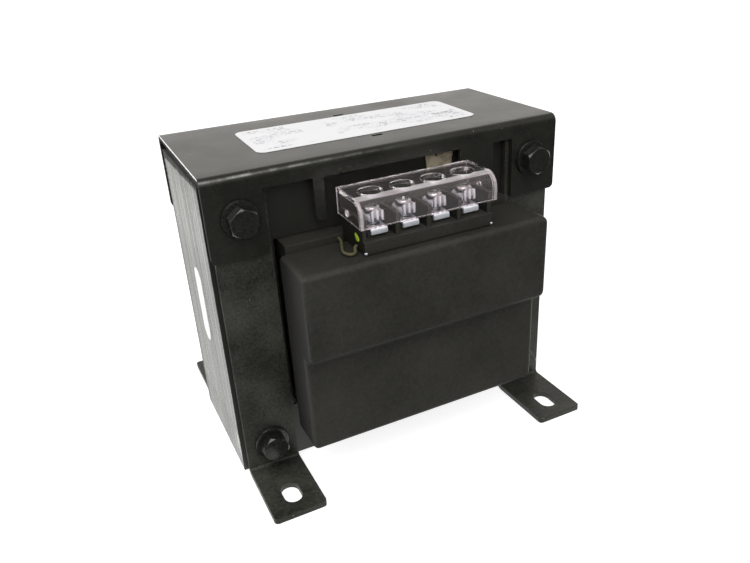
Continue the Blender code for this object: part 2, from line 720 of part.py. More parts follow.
def clamp_plate():
    """Square saddle under the screw head, its side edges turned down to hold the wire."""
    half = PLATE_WIDTH / 2 - CLAMP_INSET
    section = [
        (-half, -CLAMP_LIP),
        (-half + CLAMP_SHEET, -CLAMP_LIP),
        (-half + CLAMP_SHEET, 0),
        (half - CLAMP_SHEET, 0),
        (half - CLAMP_SHEET, -CLAMP_LIP),
        (half, -CLAMP_LIP),
        (half, CLAMP_SHEET),
        (-half, CLAMP_SHEET),
    ]
    bends = [0, 0, 0, 0, 0, 0, CLAMP_SHEET, CLAMP_SHEET]
    clamp = slab("clamp", [rounded(section, bends)], -CLAMP_DEPTH / 2, CLAMP_DEPTH / 2, "XZ")
    return drilled(clamp, [(0, 0)], SCREW_RADIUS + SEAT, -CLAMP_SHEET * 2, CLAMP_SHEET * 2, "XY", 12)


def terminal_screw():
    """Pan head with a cross slot, seated at z = 0, shank below."""
    length = SCREW_SEAT - PLATE_BOTTOM + SCREW_REACH
    crown = SCREW_HEAD_HEIGHT / 4
    profile = [
        (0, SCREW_HEAD_HEIGHT),
        (SCREW_HEAD_RADIUS - 2 * crown, SCREW_HEAD_HEIGHT),
        (SCREW_HEAD_RADIUS - crown / 2, SCREW_HEAD_HEIGHT - crown / 2),
        (SCREW_HEAD_RADIUS, SCREW_HEAD_HEIGHT - 2 * crown),
        (SCREW_HEAD_RADIUS, 0),
        (SCREW_RADIUS, 0),
        (SCREW_RADIUS, SCREW_RADIUS / 3 - length),
        (SCREW_RADIUS * 2 / 3, -length),
        (0, -length),
    ]
    screw = turned("screw", profile, 18)
    reach = SCREW_HEAD_RADIUS * SCREW_SLOT_SHARE
    wide = SCREW_SLOT / 2
    top = SCREW_HEAD_HEIGHT
    for half_x, half_y in ((reach, wide), (wide, reach)):
        arm = rectangle(-half_x, half_x, -half_y, half_y)
        screw = cut(screw, slab("arm", [arm], top - SCREW_SLOT_DEPTH, 2 * top, "XY", CUTTERS))
    return screw


def terminals():
    shapes = (
        ("terminal_plate", terminal_plate(), PLATE_BOTTOM, "tin"),
        ("clamp_plate", clamp_plate(), CLAMP_BOTTOM, "tin"),
        ("terminal_screw", terminal_screw(), SCREW_SEAT, "bright_steel"),
    )
    for kind, shape, z, look in shapes:
        for end, turn in (("front", Matrix.Identity(4)), ("rear", HALF_TURN)):
            for k, x in enumerate(terminal_x()):
                place = turn @ Matrix.Translation((x, -TERMINAL_Y, z))
                finish(copy_of(shape, f"{kind}_{end}_{k + 1}", place), look)
        bpy.data.objects.remove(shape, do_unlink=True)


def finger_guard():
    """Clear hood over the terminals, open below and behind, with a driver hole over each screw. Its ends
    pass outside the block's, and its roof rests on the block's back wall."""
    height = GUARD_TOP - GUARD_BOTTOM
    depth = GUARD_FRONT_Y - GUARD_BACK_Y
    half = BLOCK_HALF_WIDTH + SEAT + GUARD_SIDE
    corners = [(-depth, 0), (0, GUARD_RISE), (0, height), (-depth, height)]
    section = rounded(corners, [0, 0, 0, GUARD_ROUND], 6)
    guard = slab("finger_guard_front", [section], -half, half, "YZ")
    room = rectangle(-depth + GUARD_WALL, depth, -height, height - GUARD_WALL)
    room = rounded(room, [0, 0, 0, GUARD_ROUND - GUARD_WALL], 5)
    inside = half - GUARD_SIDE
    guard = cut(guard, slab("room", [room], -inside, inside, "YZ", CUTTERS))
    centres = [(x - BLOCK_OFFSET, GUARD_BACK_Y - TERMINAL_Y) for x in terminal_x()]
    guard = drilled(guard, centres, DRIVER_HOLE_RADIUS, height / 2, 2 * height, "XY", 24)
    latch = [(-depth * LATCH_FORWARD, height * LATCH_SHARE)]
    guard = drilled(guard, latch, LATCH_HOLE / 2, -2 * half, 2 * half, "YZ", 12)
    guard.matrix_world = Matrix.Translation((BLOCK_OFFSET, -GUARD_BACK_Y, GUARD_BOTTOM))
    finish(copy_of(guard, "finger_guard_rear", HALF_TURN), "clear_plastic")
    finish(guard, "clear_plastic")


def labels():
    wide, deep = LABEL_SIZE
    low = COVER_TOP + SNUG
    outline = rounded(centred(0, 0, wide, deep), LABEL_CORNER, 4)
    finish(slab("rating_label", [outline], low, low + LABEL_SHEET), "label_white")
    across, tall = SIDE_LABEL_SIZE
    face = -CORE_WIDTH / 2 - SNUG
    outline = centred(SIDE_LABEL_Y, SIDE_LABEL_HEIGHT, across, tall)
    outline = rounded(outline, across * ROUND_END_SHARE, 6)
    finish(slab("side_label", [outline], face - LABEL_SHEET, face, "YZ"), "label_white")


def insulating_paper():
    """Flag of insulating paper that stands up from the coil in front of the yoke."""
    low = WINDOW_TOP + SEAT
    half = PAPER_WIDTH / 2
    sides = rectangle(PAPER_OFFSET - half, PAPER_OFFSET + half, low, COVER_TOP - PAPER_DROP)
    y = -CORE_FACE - SEAT
    finish(slab("insulating_paper", [sides], y - PAPER_SHEET, y, "XZ"), "paper")


def smooth_path(points):
    """Points along a smooth curve through the given ones, which it passes in order."""
    points = [Vector(point) for point in points]
    ends = [2 * points[0] - points[1], *points, 2 * points[-1] - points[-2]]
    path = []
    for before, start, end, after in zip(ends, points, points[1:], ends[3:]):
        for k in range(LEAD_STEPS):
            t = k / LEAD_STEPS
            bend = (2 * before - 5 * start + 4 * end - after) * t * t
            twist = (3 * start - before - 3 * end + after) * t * t * t
            path.append(start + ((end - before) * t + bend + twist) / 2)
    return [*path, points[-1]]


def lead_wires():
    """A sleeved coil lead each end: out by the collar, a loop on the coil cover, into the block's end."""
    start = Vector((BLOCK_OFFSET - BLOCK_HALF_WIDTH - SEAT, -BLOCK_BACK_Y, SHELL_TOP + SEAT + LEAD_RADIUS))
    route = []
    for left, forward, up in LEAD_ROUTE:
        route.append(start + Vector((-left, -forward, up)) * BLOCK_DEPTH)
    curve = bpy.data.curves.new("lead_wire_front", "CURVE")
    curve.dimensions = "3D"
    curve.bevel_depth = LEAD_RADIUS
    curve.bevel_resolution = 2
    curve.use_fill_caps = True
    path = smooth_path(route)
    spline = curve.splines.new("POLY")
    spline.points.add(len(path) - 1)
    for point, place in zip(spline.points, path):
        point.co = (place.x, place.y, place.z, 1)
    lead = bpy.data.objects.new("lead_wire_front", curve)
    PARTS.objects.link(lead)
    bpy.context.view_layer.update()
    lead = baked(lead)
    finish(copy_of(lead, "lead_wire_rear", HALF_TURN), "sleeve")
    finish(lead, "sleeve")


FINISHES = {
    "core": ((0.055, 0.055, 0.052), 0.55, 0.6, 1.0),
    "black_paint": ((0.022, 0.023, 0.020), 0.38, 0.0, 1.0),
    "black_steel": ((0.020, 0.020, 0.019), 0.25, 0.7, 1.0),
    "black_plastic": ((0.030, 0.030, 0.027), 0.50, 0.0, 1.0),
    "nylon": ((0.030, 0.030, 0.030), 0.45, 0.0, 1.0),
    "copper": ((0.50, 0.21, 0.08), 0.35, 0.9, 1.0),
    "paper": ((0.55, 0.48, 0.30), 0.80, 0.0, 1.0),
    "sleeve": ((0.42, 0.36, 0.12), 0.55, 0.0, 1.0),
    "wrap": ((0.040, 0.035, 0.028), 0.60, 0.0, 1.0),
    "tin": ((0.72, 0.72, 0.70), 0.28, 1.0, 1.0),
    "bright_steel": ((0.66, 0.66, 0.65), 0.25, 1.0, 1.0),
    "clear_plastic": ((0.85, 0.86, 0.88), 0.08, 0.0, 0.35),
    "label_white": ((0.82, 0.82, 0.83), 0.55, 0.0, 1.0),
}

clear_scene()
PARTS = new_collection("control_transformer")
CUTTERS = new_collection("cutters")
laminations()
top_cover()
brackets()
fastenings()
bobbin()
windings()
coil_cover()
terminal_block()
terminals()
finger_guard()
labels()
insulating_paper()
lead_wires()
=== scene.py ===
# Control transformer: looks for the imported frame. Everything is in metres, in the frame's own axes.
import math

import bmesh
import bpy
from mathutils import Matrix, Quaternion, Vector


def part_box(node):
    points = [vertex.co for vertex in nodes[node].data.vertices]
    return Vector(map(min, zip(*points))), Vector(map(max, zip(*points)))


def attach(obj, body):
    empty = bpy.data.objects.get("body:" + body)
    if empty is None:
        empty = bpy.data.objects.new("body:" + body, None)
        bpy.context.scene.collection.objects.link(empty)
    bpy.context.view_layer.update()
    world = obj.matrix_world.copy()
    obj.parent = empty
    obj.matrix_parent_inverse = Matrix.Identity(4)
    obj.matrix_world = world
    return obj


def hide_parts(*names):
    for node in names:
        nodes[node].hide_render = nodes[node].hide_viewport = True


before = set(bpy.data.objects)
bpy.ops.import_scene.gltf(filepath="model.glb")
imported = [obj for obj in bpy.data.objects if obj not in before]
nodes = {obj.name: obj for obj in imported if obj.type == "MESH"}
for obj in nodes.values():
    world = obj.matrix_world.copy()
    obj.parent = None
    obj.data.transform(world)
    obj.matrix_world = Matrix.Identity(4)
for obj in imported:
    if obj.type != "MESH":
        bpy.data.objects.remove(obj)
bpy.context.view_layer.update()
scene = bpy.context.scene
ends = ("front", "rear")
sides = ("left", "right")
print("frame loaded,", len(nodes), "nodes")


def linked(name, data):
    made = bpy.data.objects.new(name, data)
    scene.collection.objects.link(made)
    return made


def discard(piece):
    bpy.data.objects.remove(piece, do_unlink=True)


# Camera at the photograph's angle
cameraSettings = {
    "place": (-0.090648, -0.206715, 0.155469), "lookAt": (-0.005578, -0.018911, 0.053522),
    "roll": -3.54,  # degrees
    "lens": 34.52, "sensor": 36.0, "clip": (0.01, 50),
}


def makeCamera(plan):
    data = bpy.data.cameras.new("camera")
    camera = linked("camera", data)
    camera.location = Vector(plan["place"])
    aim = (Vector(plan["lookAt"]) - camera.location).to_track_quat("-Z", "Y")
    camera.rotation_mode = "QUATERNION"
    camera.rotation_quaternion = aim @ Quaternion((0, 0, 1), math.radians(plan["roll"]))
    data.lens = plan["lens"]
    data.sensor_width = plan["sensor"]
    data.clip_start, data.clip_end = plan["clip"]
    scene.camera = camera


makeCamera(cameraSettings)
scene.view_settings.view_transform = "Standard"
print("camera placed")


# Node helpers: a value that is a socket is linked, any other is set on the input
def setInput(socket, value):
    if isinstance(value, bpy.types.NodeSocket):
        socket.id_data.links.new(value, socket)
    else:
        socket.default_value = value


def addNode(tree, kind, setup=None, **inputs):
    # an input is named, with _ for a space, or counted: _0, _1
    node = tree.nodes.new(kind)
    for name, value in (setup or {}).items():
        setattr(node, name, value)
    for name, value in inputs.items():
        key = int(name[1:]) if name[1:].isdigit() else name.replace("_", " ")
        setInput(node.inputs[key], value)
    return node


def result(tree, kind, setup=None, **inputs):
    return addNode(tree, kind, setup, **inputs).outputs[0]


def connect(shader, **inputs):
    for name, value in inputs.items():
        setInput(shader.inputs[name.replace("_", " ")], value)


def newMaterial(name):
    made = bpy.data.materials.new(name)
    made.use_nodes = True
    return made, made.node_tree, made.node_tree.nodes["Principled BSDF"]


def place(tree, scale=(1, 1, 1), turn=(0, 0, 0), shift=(0, 0, 0)):
    where = addNode(tree, "ShaderNodeTexCoord").outputs["Object"]
    return result(tree, "ShaderNodeMapping", Vector=where, Scale=scale, Rotation=turn, Location=shift)


def axes(tree, vector=None):
    vector = place(tree) if vector is None else vector
    return addNode(tree, "ShaderNodeSeparateXYZ", Vector=vector).outputs


def noise(tree, scale, detail=3.0, rough=0.5, stretch=(1, 1, 1)):
    at = place(tree, stretch)
    return addNode(tree, "ShaderNodeTexNoise", Vector=at, Scale=scale, Detail=detail, Roughness=rough).outputs["Fac"]


def cells(tree, scale):
    return result(tree, "ShaderNodeTexVoronoi", Vector=place(tree), Scale=scale)


def bands(tree, profile, tilt, scale, distortion, fine):
    setup = {"wave_type": "BANDS", "bands_direction": "Z", "wave_profile": profile}
    waves = {"Scale": scale, "Distortion": distortion, "Detail Scale": fine}
    at = place(tree, turn=(tilt, tilt, 0))
    return addNode(tree, "ShaderNodeTexWave", setup, Vector=at, **waves).outputs["Fac"]


def ranged(tree, value, low, high, toLow=0, toHigh=1):
    return result(tree, "ShaderNodeMapRange", Value=value, From_Min=low, From_Max=high, To_Min=toLow, To_Max=toHigh)


def maths(tree, operation, first, *others):
    for other in others or (0.0,):
        first = result(tree, "ShaderNodeMath", {"operation": operation}, _0=first, _1=other)
    return first


def times(tree, *values):
    return maths(tree, "MULTIPLY", *values)


def minus(tree, first, second):
    return maths(tree, "SUBTRACT", first, second)


def within(tree, value, middle, reach):
    # 1 where the value is nearer the middle than the reach
    return maths(tree, "LESS_THAN", maths(tree, "ABSOLUTE", minus(tree, value, middle)), reach)


def sideways(tree):
    # 1 on faces that look left or right
    normal = addNode(tree, "ShaderNodeNewGeometry").outputs["Normal"]
    return maths(tree, "ABSOLUTE", axes(tree, normal)[0])


def blend(tree, share, first, second):
    setup = {"data_type": "RGBA", "clamp_factor": True}
    first = first if isinstance(first, bpy.types.NodeSocket) else (*first, 1)
    second = second if isinstance(second, bpy.types.NodeSocket) else (*second, 1)
    return addNode(tree, "ShaderNodeMix", setup, _0=share, _6=first, _7=second).outputs[2]


def tinted(tree, value, low, high, first, second):
    return blend(tree, ranged(tree, value, low, high), first, second)


def roughness(tree, value, plan, low=0.3, high=0.7):
    # nearly all of a noise lies between 0.3 and 0.7
    return ranged(tree, value, low, high, *plan["roughness"])


def bump(tree, height, distance, strength, under=None):
    inputs = {"Height": height, "Distance": distance, "Strength": strength}
    if under is not None:
        inputs["Normal"] = under
    return result(tree, "ShaderNodeBump", **inputs)


def patches(tree, plan, key):
    # a noise stretched over its own range
    return ranged(tree, noise(tree, *plan[key]), *plan[key + "Range"])


def lumps(tree, plan, key, under=None):
    return bump(tree, noise(tree, *plan[key]), *plan[key + "Bump"], under)


# World and lamps: a white studio tent, darker overhead for reflections, with two soft boxes
studio = {
    "ambient": 0.45,  # what matt surfaces get from all round
    "tentTint": (1.0, 0.975, 0.935),  # colour of the room in reflections
    "tentTop": 0.35,  # brightness of its ceiling there
    "topFade": (0.5, 0.75),  # where the ceiling sets in, along z of the direction
    "frontDark": 0.07,  # of the room in front
    "frontFade": (-0.75, -0.25),  # along y
    "leftDark": 0.55,  # of the room on the left
    "leftFade": (-0.8, -0.3),  # along x
    "lamps": {  # direction, distance, size, power
        "softBox": ((-0.30, -0.60, 0.75), 0.95, 0.95, 7.5),
        "sideBox": ((-0.80, 0.54, 0.26), 1.0, 0.6, 4.2),
    },
    "lampAim": (0, 0, 0.05),
    "floorReach": 4,
    "floorLevel": -0.0002,
    "floorGlow": 0.78,
    "floorColour": (0.62, 0.62, 0.62),
    "floorFade": (-0.072, -0.030),  # in reflections the floor is dark in front of these y
}


def raysIn(tree):
    # glossy rays, and those that see the room itself
    rays = addNode(tree, "ShaderNodeLightPath").outputs
    return rays["Is Glossy Ray"], maths(tree, "MAXIMUM", rays["Is Camera Ray"], rays["Is Transmission Ray"])


def makeWorld(plan):
    world = bpy.data.worlds.new("tent")
    scene.world = world
    world.use_nodes = True
    tree = world.node_tree
    tree.nodes.clear()
    glossy, seen = raysIn(tree)
    towards = axes(tree, addNode(tree, "ShaderNodeTexCoord").outputs["Generated"])
    ceiling = ranged(tree, towards[2], *plan["topFade"], 1.0, plan["tentTop"])
    room = ranged(tree, towards[1], *plan["frontFade"], plan["frontDark"], 1.0)
    leftWall = ranged(tree, towards[0], *plan["leftFade"], plan["leftDark"], 1.0)
    mirror = times(tree, maths(tree, "MINIMUM", ceiling, room), glossy, leftWall)
    diffuse = times(tree, minus(tree, 1.0, glossy), plan["ambient"])
    strength = maths(tree, "MAXIMUM", seen, maths(tree, "ADD", mirror, diffuse))
    tint = blend(tree, glossy, (1, 1, 1), plan["tentTint"])
    addNode(tree, "ShaderNodeOutputWorld", _0=result(tree, "ShaderNodeBackground", Color=tint, Strength=strength))


def makeLamps(plan):
    for name, (direction, distance, size, power) in plan["lamps"].items():
        data = bpy.data.lights.new(name, "AREA")
        data.shape = "SQUARE"
        data.size = size
        data.energy = power
        lamp = linked(name, data)
        direction = Vector(direction).normalized()
        lamp.location = direction * distance + Vector(plan["lampAim"])
        lamp.rotation_euler = (-direction).to_track_quat("-Z", "Y").to_euler()


def makeFloor(plan):
    reach, level = plan["floorReach"], plan["floorLevel"]
    corners = [(x * reach, y * reach, level) for x, y in ((-1, -1), (1, -1), (1, 1), (-1, 1))]
    mesh = bpy.data.meshes.new("floor")
    mesh.from_pydata(corners, [], [(0, 1, 2, 3)])
    floor = linked("floor", mesh)
    made = bpy.data.materials.new("floorPaper")
    made.use_nodes = True
    tree = made.node_tree
    tree.nodes.clear()
    glossy, seen = raysIn(tree)
    room = ranged(tree, axes(tree)[1], *plan["floorFade"], plan["frontDark"], 1.0)
    shown = maths(tree, "MAXIMUM", seen, times(tree, glossy, room))
    strength = times(tree, shown, plan["floorGlow"])
    glow = result(tree, "ShaderNodeEmission", Color=(1, 1, 1, 1), Strength=strength)
    dimmed = times(tree, glossy, minus(tree, 1.0, room))
    colour = blend(tree, dimmed, plan["floorColour"], (0, 0, 0))
    matt = result(tree, "ShaderNodeBsdfDiffuse", Color=colour)
    addNode(tree, "ShaderNodeOutputMaterial", _0=result(tree, "ShaderNodeAddShader", _0=glow, _1=matt))
    mesh.materials.append(made)


makeWorld(studio)
makeLamps(studio)
makeFloor(studio)
print("studio ready")


# Materials: a noise is its scale, detail, roughness and stretch, a bump its depth and strength
enamel = {
    "dark": (0.0098, 0.0102, 0.0078), "light": (0.0185, 0.0187, 0.0150), "toneRange": (0.38, 0.62), "cloud": (70, 5),
    "grit": (1300, 2), "gritShare": 0.4, "dust": (0.22, 0.21, 0.19), "dustScale": 420, "dustSize": 0.07,
    "dustPatches": (160, 1), "dustLevel": 0.62,
    "foldHighlight": (0.38, 0.375, 0.355),  # a painted highlight line along the cover's front fold
    "highlightFront": -0.0250, "highlightHeight": 0.09835, "highlightWidth": 0.00042,
    "highlightReach": (-0.057, 0.004),  # it fades out between these x
    "highlightBreaks": (1, 3, 0.6, (260, 90, 90)), "highlightBreaksRange": (0.42, 0.62, 0.2, 1), "roughness": (0.24, 0.34),
    "peel": (1100, 2), "peelBump": (0.00006, 0.25), "index": 1.56, "gloss": 0.5, "reflection": (1.0, 0.975, 0.93, 1),
}


def gritty(tree, cloud, plan):
    share = plan["gritShare"]
    grit = noise(tree, *plan["grit"])
    tone = maths(tree, "ADD", times(tree, cloud, 1 - share), times(tree, grit, share))
    return tinted(tree, tone, *plan["toneRange"], plan["dark"], plan["light"])


# painted highlight: a light broken line along the front fold, fading out towards the right
def paintedFoldHighlight(tree, plan):
    where = axes(tree)
    away = maths(tree, "ABSOLUTE", minus(tree, where[2], plan["highlightHeight"]))
    line = ranged(tree, away, 0, plan["highlightWidth"], 1, 0)
    front = maths(tree, "LESS_THAN", where[1], plan["highlightFront"])
    reach = ranged(tree, where[0], *plan["highlightReach"], 1, 0)
    return times(tree, line, front, reach, patches(tree, plan, "highlightBreaks"))


def paintedSheet(plan, name="paintedSheet"):
    made, tree, shader = newMaterial(name)
    cloud = noise(tree, *plan["cloud"])
    colour = gritty(tree, cloud, plan)
    specks = maths(tree, "LESS_THAN", cells(tree, plan["dustScale"]), plan["dustSize"])
    rare = maths(tree, "GREATER_THAN", noise(tree, *plan["dustPatches"]), plan["dustLevel"])
    colour = blend(tree, times(tree, specks, rare), colour, plan["dust"])
    colour = blend(tree, paintedFoldHighlight(tree, plan), colour, plan["foldHighlight"])
    connect(shader, Base_Color=colour, Roughness=roughness(tree, cloud, plan), Normal=lumps(tree, plan, "peel"))
    connect(shader, IOR=plan["index"], Specular_IOR_Level=plan["gloss"])
    connect(shader, Specular_Tint=plan["reflection"])
    return made


footEnamel = {
    **enamel, "dark": (0.016, 0.0165, 0.0125), "light": (0.056, 0.056, 0.047), "roughness": (0.36, 0.50), "gloss": 0.3,
}
wornEdge = {
    "paint": enamel["light"], "bare": (0.42, 0.42, 0.40), "wear": (420, 4, 0.65), "wearRange": (0.60, 0.68),
    "roughness": (0.3, 0.38),
}


def wornSheetEdge(plan):
    made, tree, shader = newMaterial("wornSheetEdge")
    wear = patches(tree, plan, "wear")
    connect(shader, Base_Color=blend(tree, wear, plan["paint"], plan["bare"]))
    connect(shader, Metallic=wear, Roughness=roughness(tree, wear, plan, 0, 1))
    return made


core = {
    "steelDark": (0.20, 0.200, 0.190), "steelLight": (0.39, 0.390, 0.375), "grain": (1, 4, 0.6, (250, 2600, 22)),
    "steelRange": (0.3, 0.7), "dull": (0.24, 0.24, 0.235), "clouds": (55, 3), "cloudsRange": (0.45, 0.75, 0, 0.35),
    "streaked": (0.21, 0.21, 0.20), "streaks": (1, 3, 0.6, (100, 620, 8)), "streaksRange": (0.42, 0.64, 0, 0.6),
    "varnish": (0.017, 0.0175, 0.014),
    "sprayShadeLine": 0.0942,  # varnish overspray and painted shade under the cover, above this height
    "slope": 0.03,  # and further down towards the back
    "frontLine": 0.0212,  # and nearer the faces than this
    "ragged": 0.0024, "rag": (210, 5, 0.7), "feather": 0.0007, "speckScale": 900, "speckSize": 0.16,
    "speckReach": 0.0035,  # how far the specks go beyond the varnish
    "brightStreaks": (0.9, 0.9, 0.88),  # the lower front corner has bright streaks
    "streakHeight": (0.016, 0.036), "streakFront": -0.0178, "streakNoise": (1, 3, 0.7, (900, 2100, 130)),
    "metallic": 0.9, "roughness": (0.34, 0.48), "sheen": 0.12, "bump": (0.00004, 0.5),
}


def coreEdges(plan):
    made, tree, shader = newMaterial("coreEdges")
    grain = noise(tree, *plan["grain"])
    steel = tinted(tree, grain, *plan["steelRange"], plan["steelDark"], plan["steelLight"])
    steel = blend(tree, patches(tree, plan, "clouds"), steel, plan["dull"])
    steel = blend(tree, patches(tree, plan, "streaks"), steel, plan["streaked"])
    where = axes(tree)
    # the dark ragged band at the top of the side is varnish overspray together with painted shade under the cover's
    # overhang
    high = minus(tree, where[2], plan["sprayShadeLine"])
    high = maths(tree, "ADD", high, times(tree, where[1], plan["slope"]))
    deep = minus(tree, maths(tree, "ABSOLUTE", where[1]), plan["frontLine"])
    past = maths(tree, "MAXIMUM", high, deep)
    rag = minus(tree, noise(tree, *plan["rag"]), 0.5)
    sprayAndShade = maths(tree, "ADD", past, times(tree, rag, plan["ragged"]))
    sprayAndShade = ranged(tree, sprayAndShade, 0, plan["feather"])
    speck = maths(tree, "LESS_THAN", cells(tree, plan["speckScale"]), plan["speckSize"])
    near = maths(tree, "GREATER_THAN", maths(tree, "ADD", past, plan["speckReach"]), 0)
    sprayAndShade = maths(tree, "MAXIMUM", sprayAndShade, times(tree, speck, near))
    # bright streaks at the lower front corner of the side faces
    brightStreak = maths(tree, "GREATER_THAN", noise(tree, *plan["streakNoise"]), 0.5)
    low = ranged(tree, where[2], *plan["streakHeight"], 1, 0)
    front = maths(tree, "LESS_THAN", where[1], plan["streakFront"])
    outer = maths(tree, "GREATER_THAN", sideways(tree), 0.9)
    brightStreaks = times(tree, brightStreak, low, front, outer)
    sprayAndShade = times(tree, sprayAndShade, minus(tree, 1.0, brightStreaks))
    steel = blend(tree, brightStreaks, steel, plan["brightStreaks"])
    connect(shader, Base_Color=blend(tree, sprayAndShade, steel, plan["varnish"]))
    connect(shader, Metallic=ranged(tree, sprayAndShade, 0, 1, plan["metallic"], 0))
    connect(shader, Roughness=roughness(tree, grain, plan), Specular_IOR_Level=plan["sheen"])
    connect(shader, Normal=bump(tree, grain, *plan["bump"]))
    return made


moulding = {
    "dark": (0.0215, 0.0210, 0.0172), "light": (0.0360, 0.0350, 0.0292), "toneRange": (0.36, 0.64),
    "cloud": (45, 5, 0.6), "grit": (1200, 2), "gritShare": 0.45, "scuffed": (0.050, 0.049, 0.044),
    "scuffs": (1, 3, 0.6, (900, 900, 60)), "scuffsRange": (0.66, 0.74, 0, 0.5),
    "sideShade": (0.0105, 0.0100, 0.0085),  # painted shade on the sides that look left or right
    "sideShadeRange": (0.75, 0.95), "gloss": 0.28, "roughness": (0.46, 0.58), "grain": (2200, 2),
    "grainBump": (0.00004, 0.3), "sink": (90, 2), "sinkBump": (0.00015, 0.15),
}


def mouldedPlastic(plan, name="mouldedPlastic"):
    made, tree, shader = newMaterial(name)
    cloud = noise(tree, *plan["cloud"])
    colour = blend(tree, patches(tree, plan, "scuffs"), gritty(tree, cloud, plan), plan["scuffed"])
    # painted shade: faces that look left or right get a darker colour
    colour = blend(tree, ranged(tree, sideways(tree), *plan["sideShadeRange"]), colour, plan["sideShade"])
    connect(shader, Base_Color=colour, Specular_IOR_Level=plan["gloss"])
    connect(shader, Roughness=roughness(tree, cloud, plan))
    connect(shader, Normal=lumps(tree, plan, "sink", lumps(tree, plan, "grain")))
    return made


cutEnd = {
    "burnish": 0.0986,  # the cover's cut ends are bright above this height
    "torn": (900, 3, 0.6), "tornDepth": 0.0008, "feather": 0.00015, "scored": (1, 3, 0.6, (300, 3200, 500)),
    "dark": (0.010, 0.010, 0.009), "bright": ((0.55, 0.55, 0.54), (0.82, 0.82, 0.81)), "roughness": (0.62, 0.33),
    "sheen": 0.06, "bump": (0.00008, 0.5),
}


def shearedEdge(plan):
    made, tree, shader = newMaterial("shearedEdge")
    height = addNode(tree, "ShaderNodeAttribute", {"attribute_name": "restHeight"}).outputs["Fac"]
    torn = times(tree, minus(tree, noise(tree, *plan["torn"]), 0.5), plan["tornDepth"])
    upper = minus(tree, height, plan["burnish"])
    bright = ranged(tree, maths(tree, "ADD", upper, torn), 0, plan["feather"])
    scored = noise(tree, *plan["scored"])
    steel = blend(tree, scored, *plan["bright"])
    connect(shader, Base_Color=blend(tree, bright, plan["dark"], steel), Metallic=bright)
    connect(shader, Roughness=roughness(tree, bright, plan, 0, 1), Specular_IOR_Level=plan["sheen"])
    connect(shader, Normal=bump(tree, scored, *plan["bump"]))
    return made


labelStock = {
    "printed": ((0.84, 0.84, 0.86), (0.88, 0.88, 0.885)), "cloud": (90, 3),
    "words": {  # rows of plain marks that spell nothing
        "Scale": 1.0, "Brick_Width": 0.0031, "Row_Height": 0.0017, "Mortar_Size": 0.00032, "Mortar_Smooth": 0.3,
        "Color1": (0.30, 0.30, 0.36, 1), "Color2": (0.95, 0.95, 0.97, 1), "Mortar": (1, 1, 1, 1), "Bias": 0.1,
    },
    "wordSetup": {"offset": 0.37, "offset_frequency": 2, "squash": 0.7, "squash_frequency": 3},
    "wordShift": (0.0021, 0.0007, 0), "letters": (1, 2, 0.6, (2600, 900, 1)), "lettersRange": (0.42, 0.52),
    "blocks": (1, 0, 0.5, (75, 160, 1)), "blocksRange": (0.46, 0.52), "margin": (0.0345, 0.0112),
    "bareColumn": (-0.0130, 0.0042),  # its x and half its width
    "patchPlace": (0.0290, -0.0036), "patchReach": (0.0036, 0.0012), "marks": (1, 2, 0.6, (900, 900, 1)),
    "marksRange": (0.40, 0.50, 0, 0.75), "patch": (0.16, 0.16, 0.18), "roughness": (0.34, 0.45),
    "grain": (400, 2), "grainBump": (0.00003, 0.2),
}


def printedLabel(plan):
    made, tree, shader = newMaterial("printedLabel")
    at = place(tree, shift=plan["wordShift"])
    words = addNode(tree, "ShaderNodeTexBrick", plan["wordSetup"], Vector=at, **plan["words"]).outputs["Color"]
    letters, blocks = patches(tree, plan, "letters"), patches(tree, plan, "blocks")
    where = axes(tree)
    margin = [within(tree, where[k], 0, plan["margin"][k]) for k in range(2)]
    column = minus(tree, 1.0, within(tree, where[0], *plan["bareColumn"]))
    ink = times(tree, letters, blocks, *margin, column)
    patch = [within(tree, where[k], plan["patchPlace"][k], plan["patchReach"][k]) for k in range(2)]
    patch = times(tree, *patch, patches(tree, plan, "marks"))
    stock = blend(tree, noise(tree, *plan["cloud"]), *plan["printed"])
    setup = {"data_type": "RGBA", "blend_type": "MULTIPLY"}
    printed = addNode(tree, "ShaderNodeMix", setup, _0=ink, _6=stock, _7=words).outputs[2]
    connect(shader, Base_Color=blend(tree, patch, printed, plan["patch"]))
    connect(shader, Roughness=roughness(tree, ink, plan, 0, 1), Normal=lumps(tree, plan, "grain"))
    return made


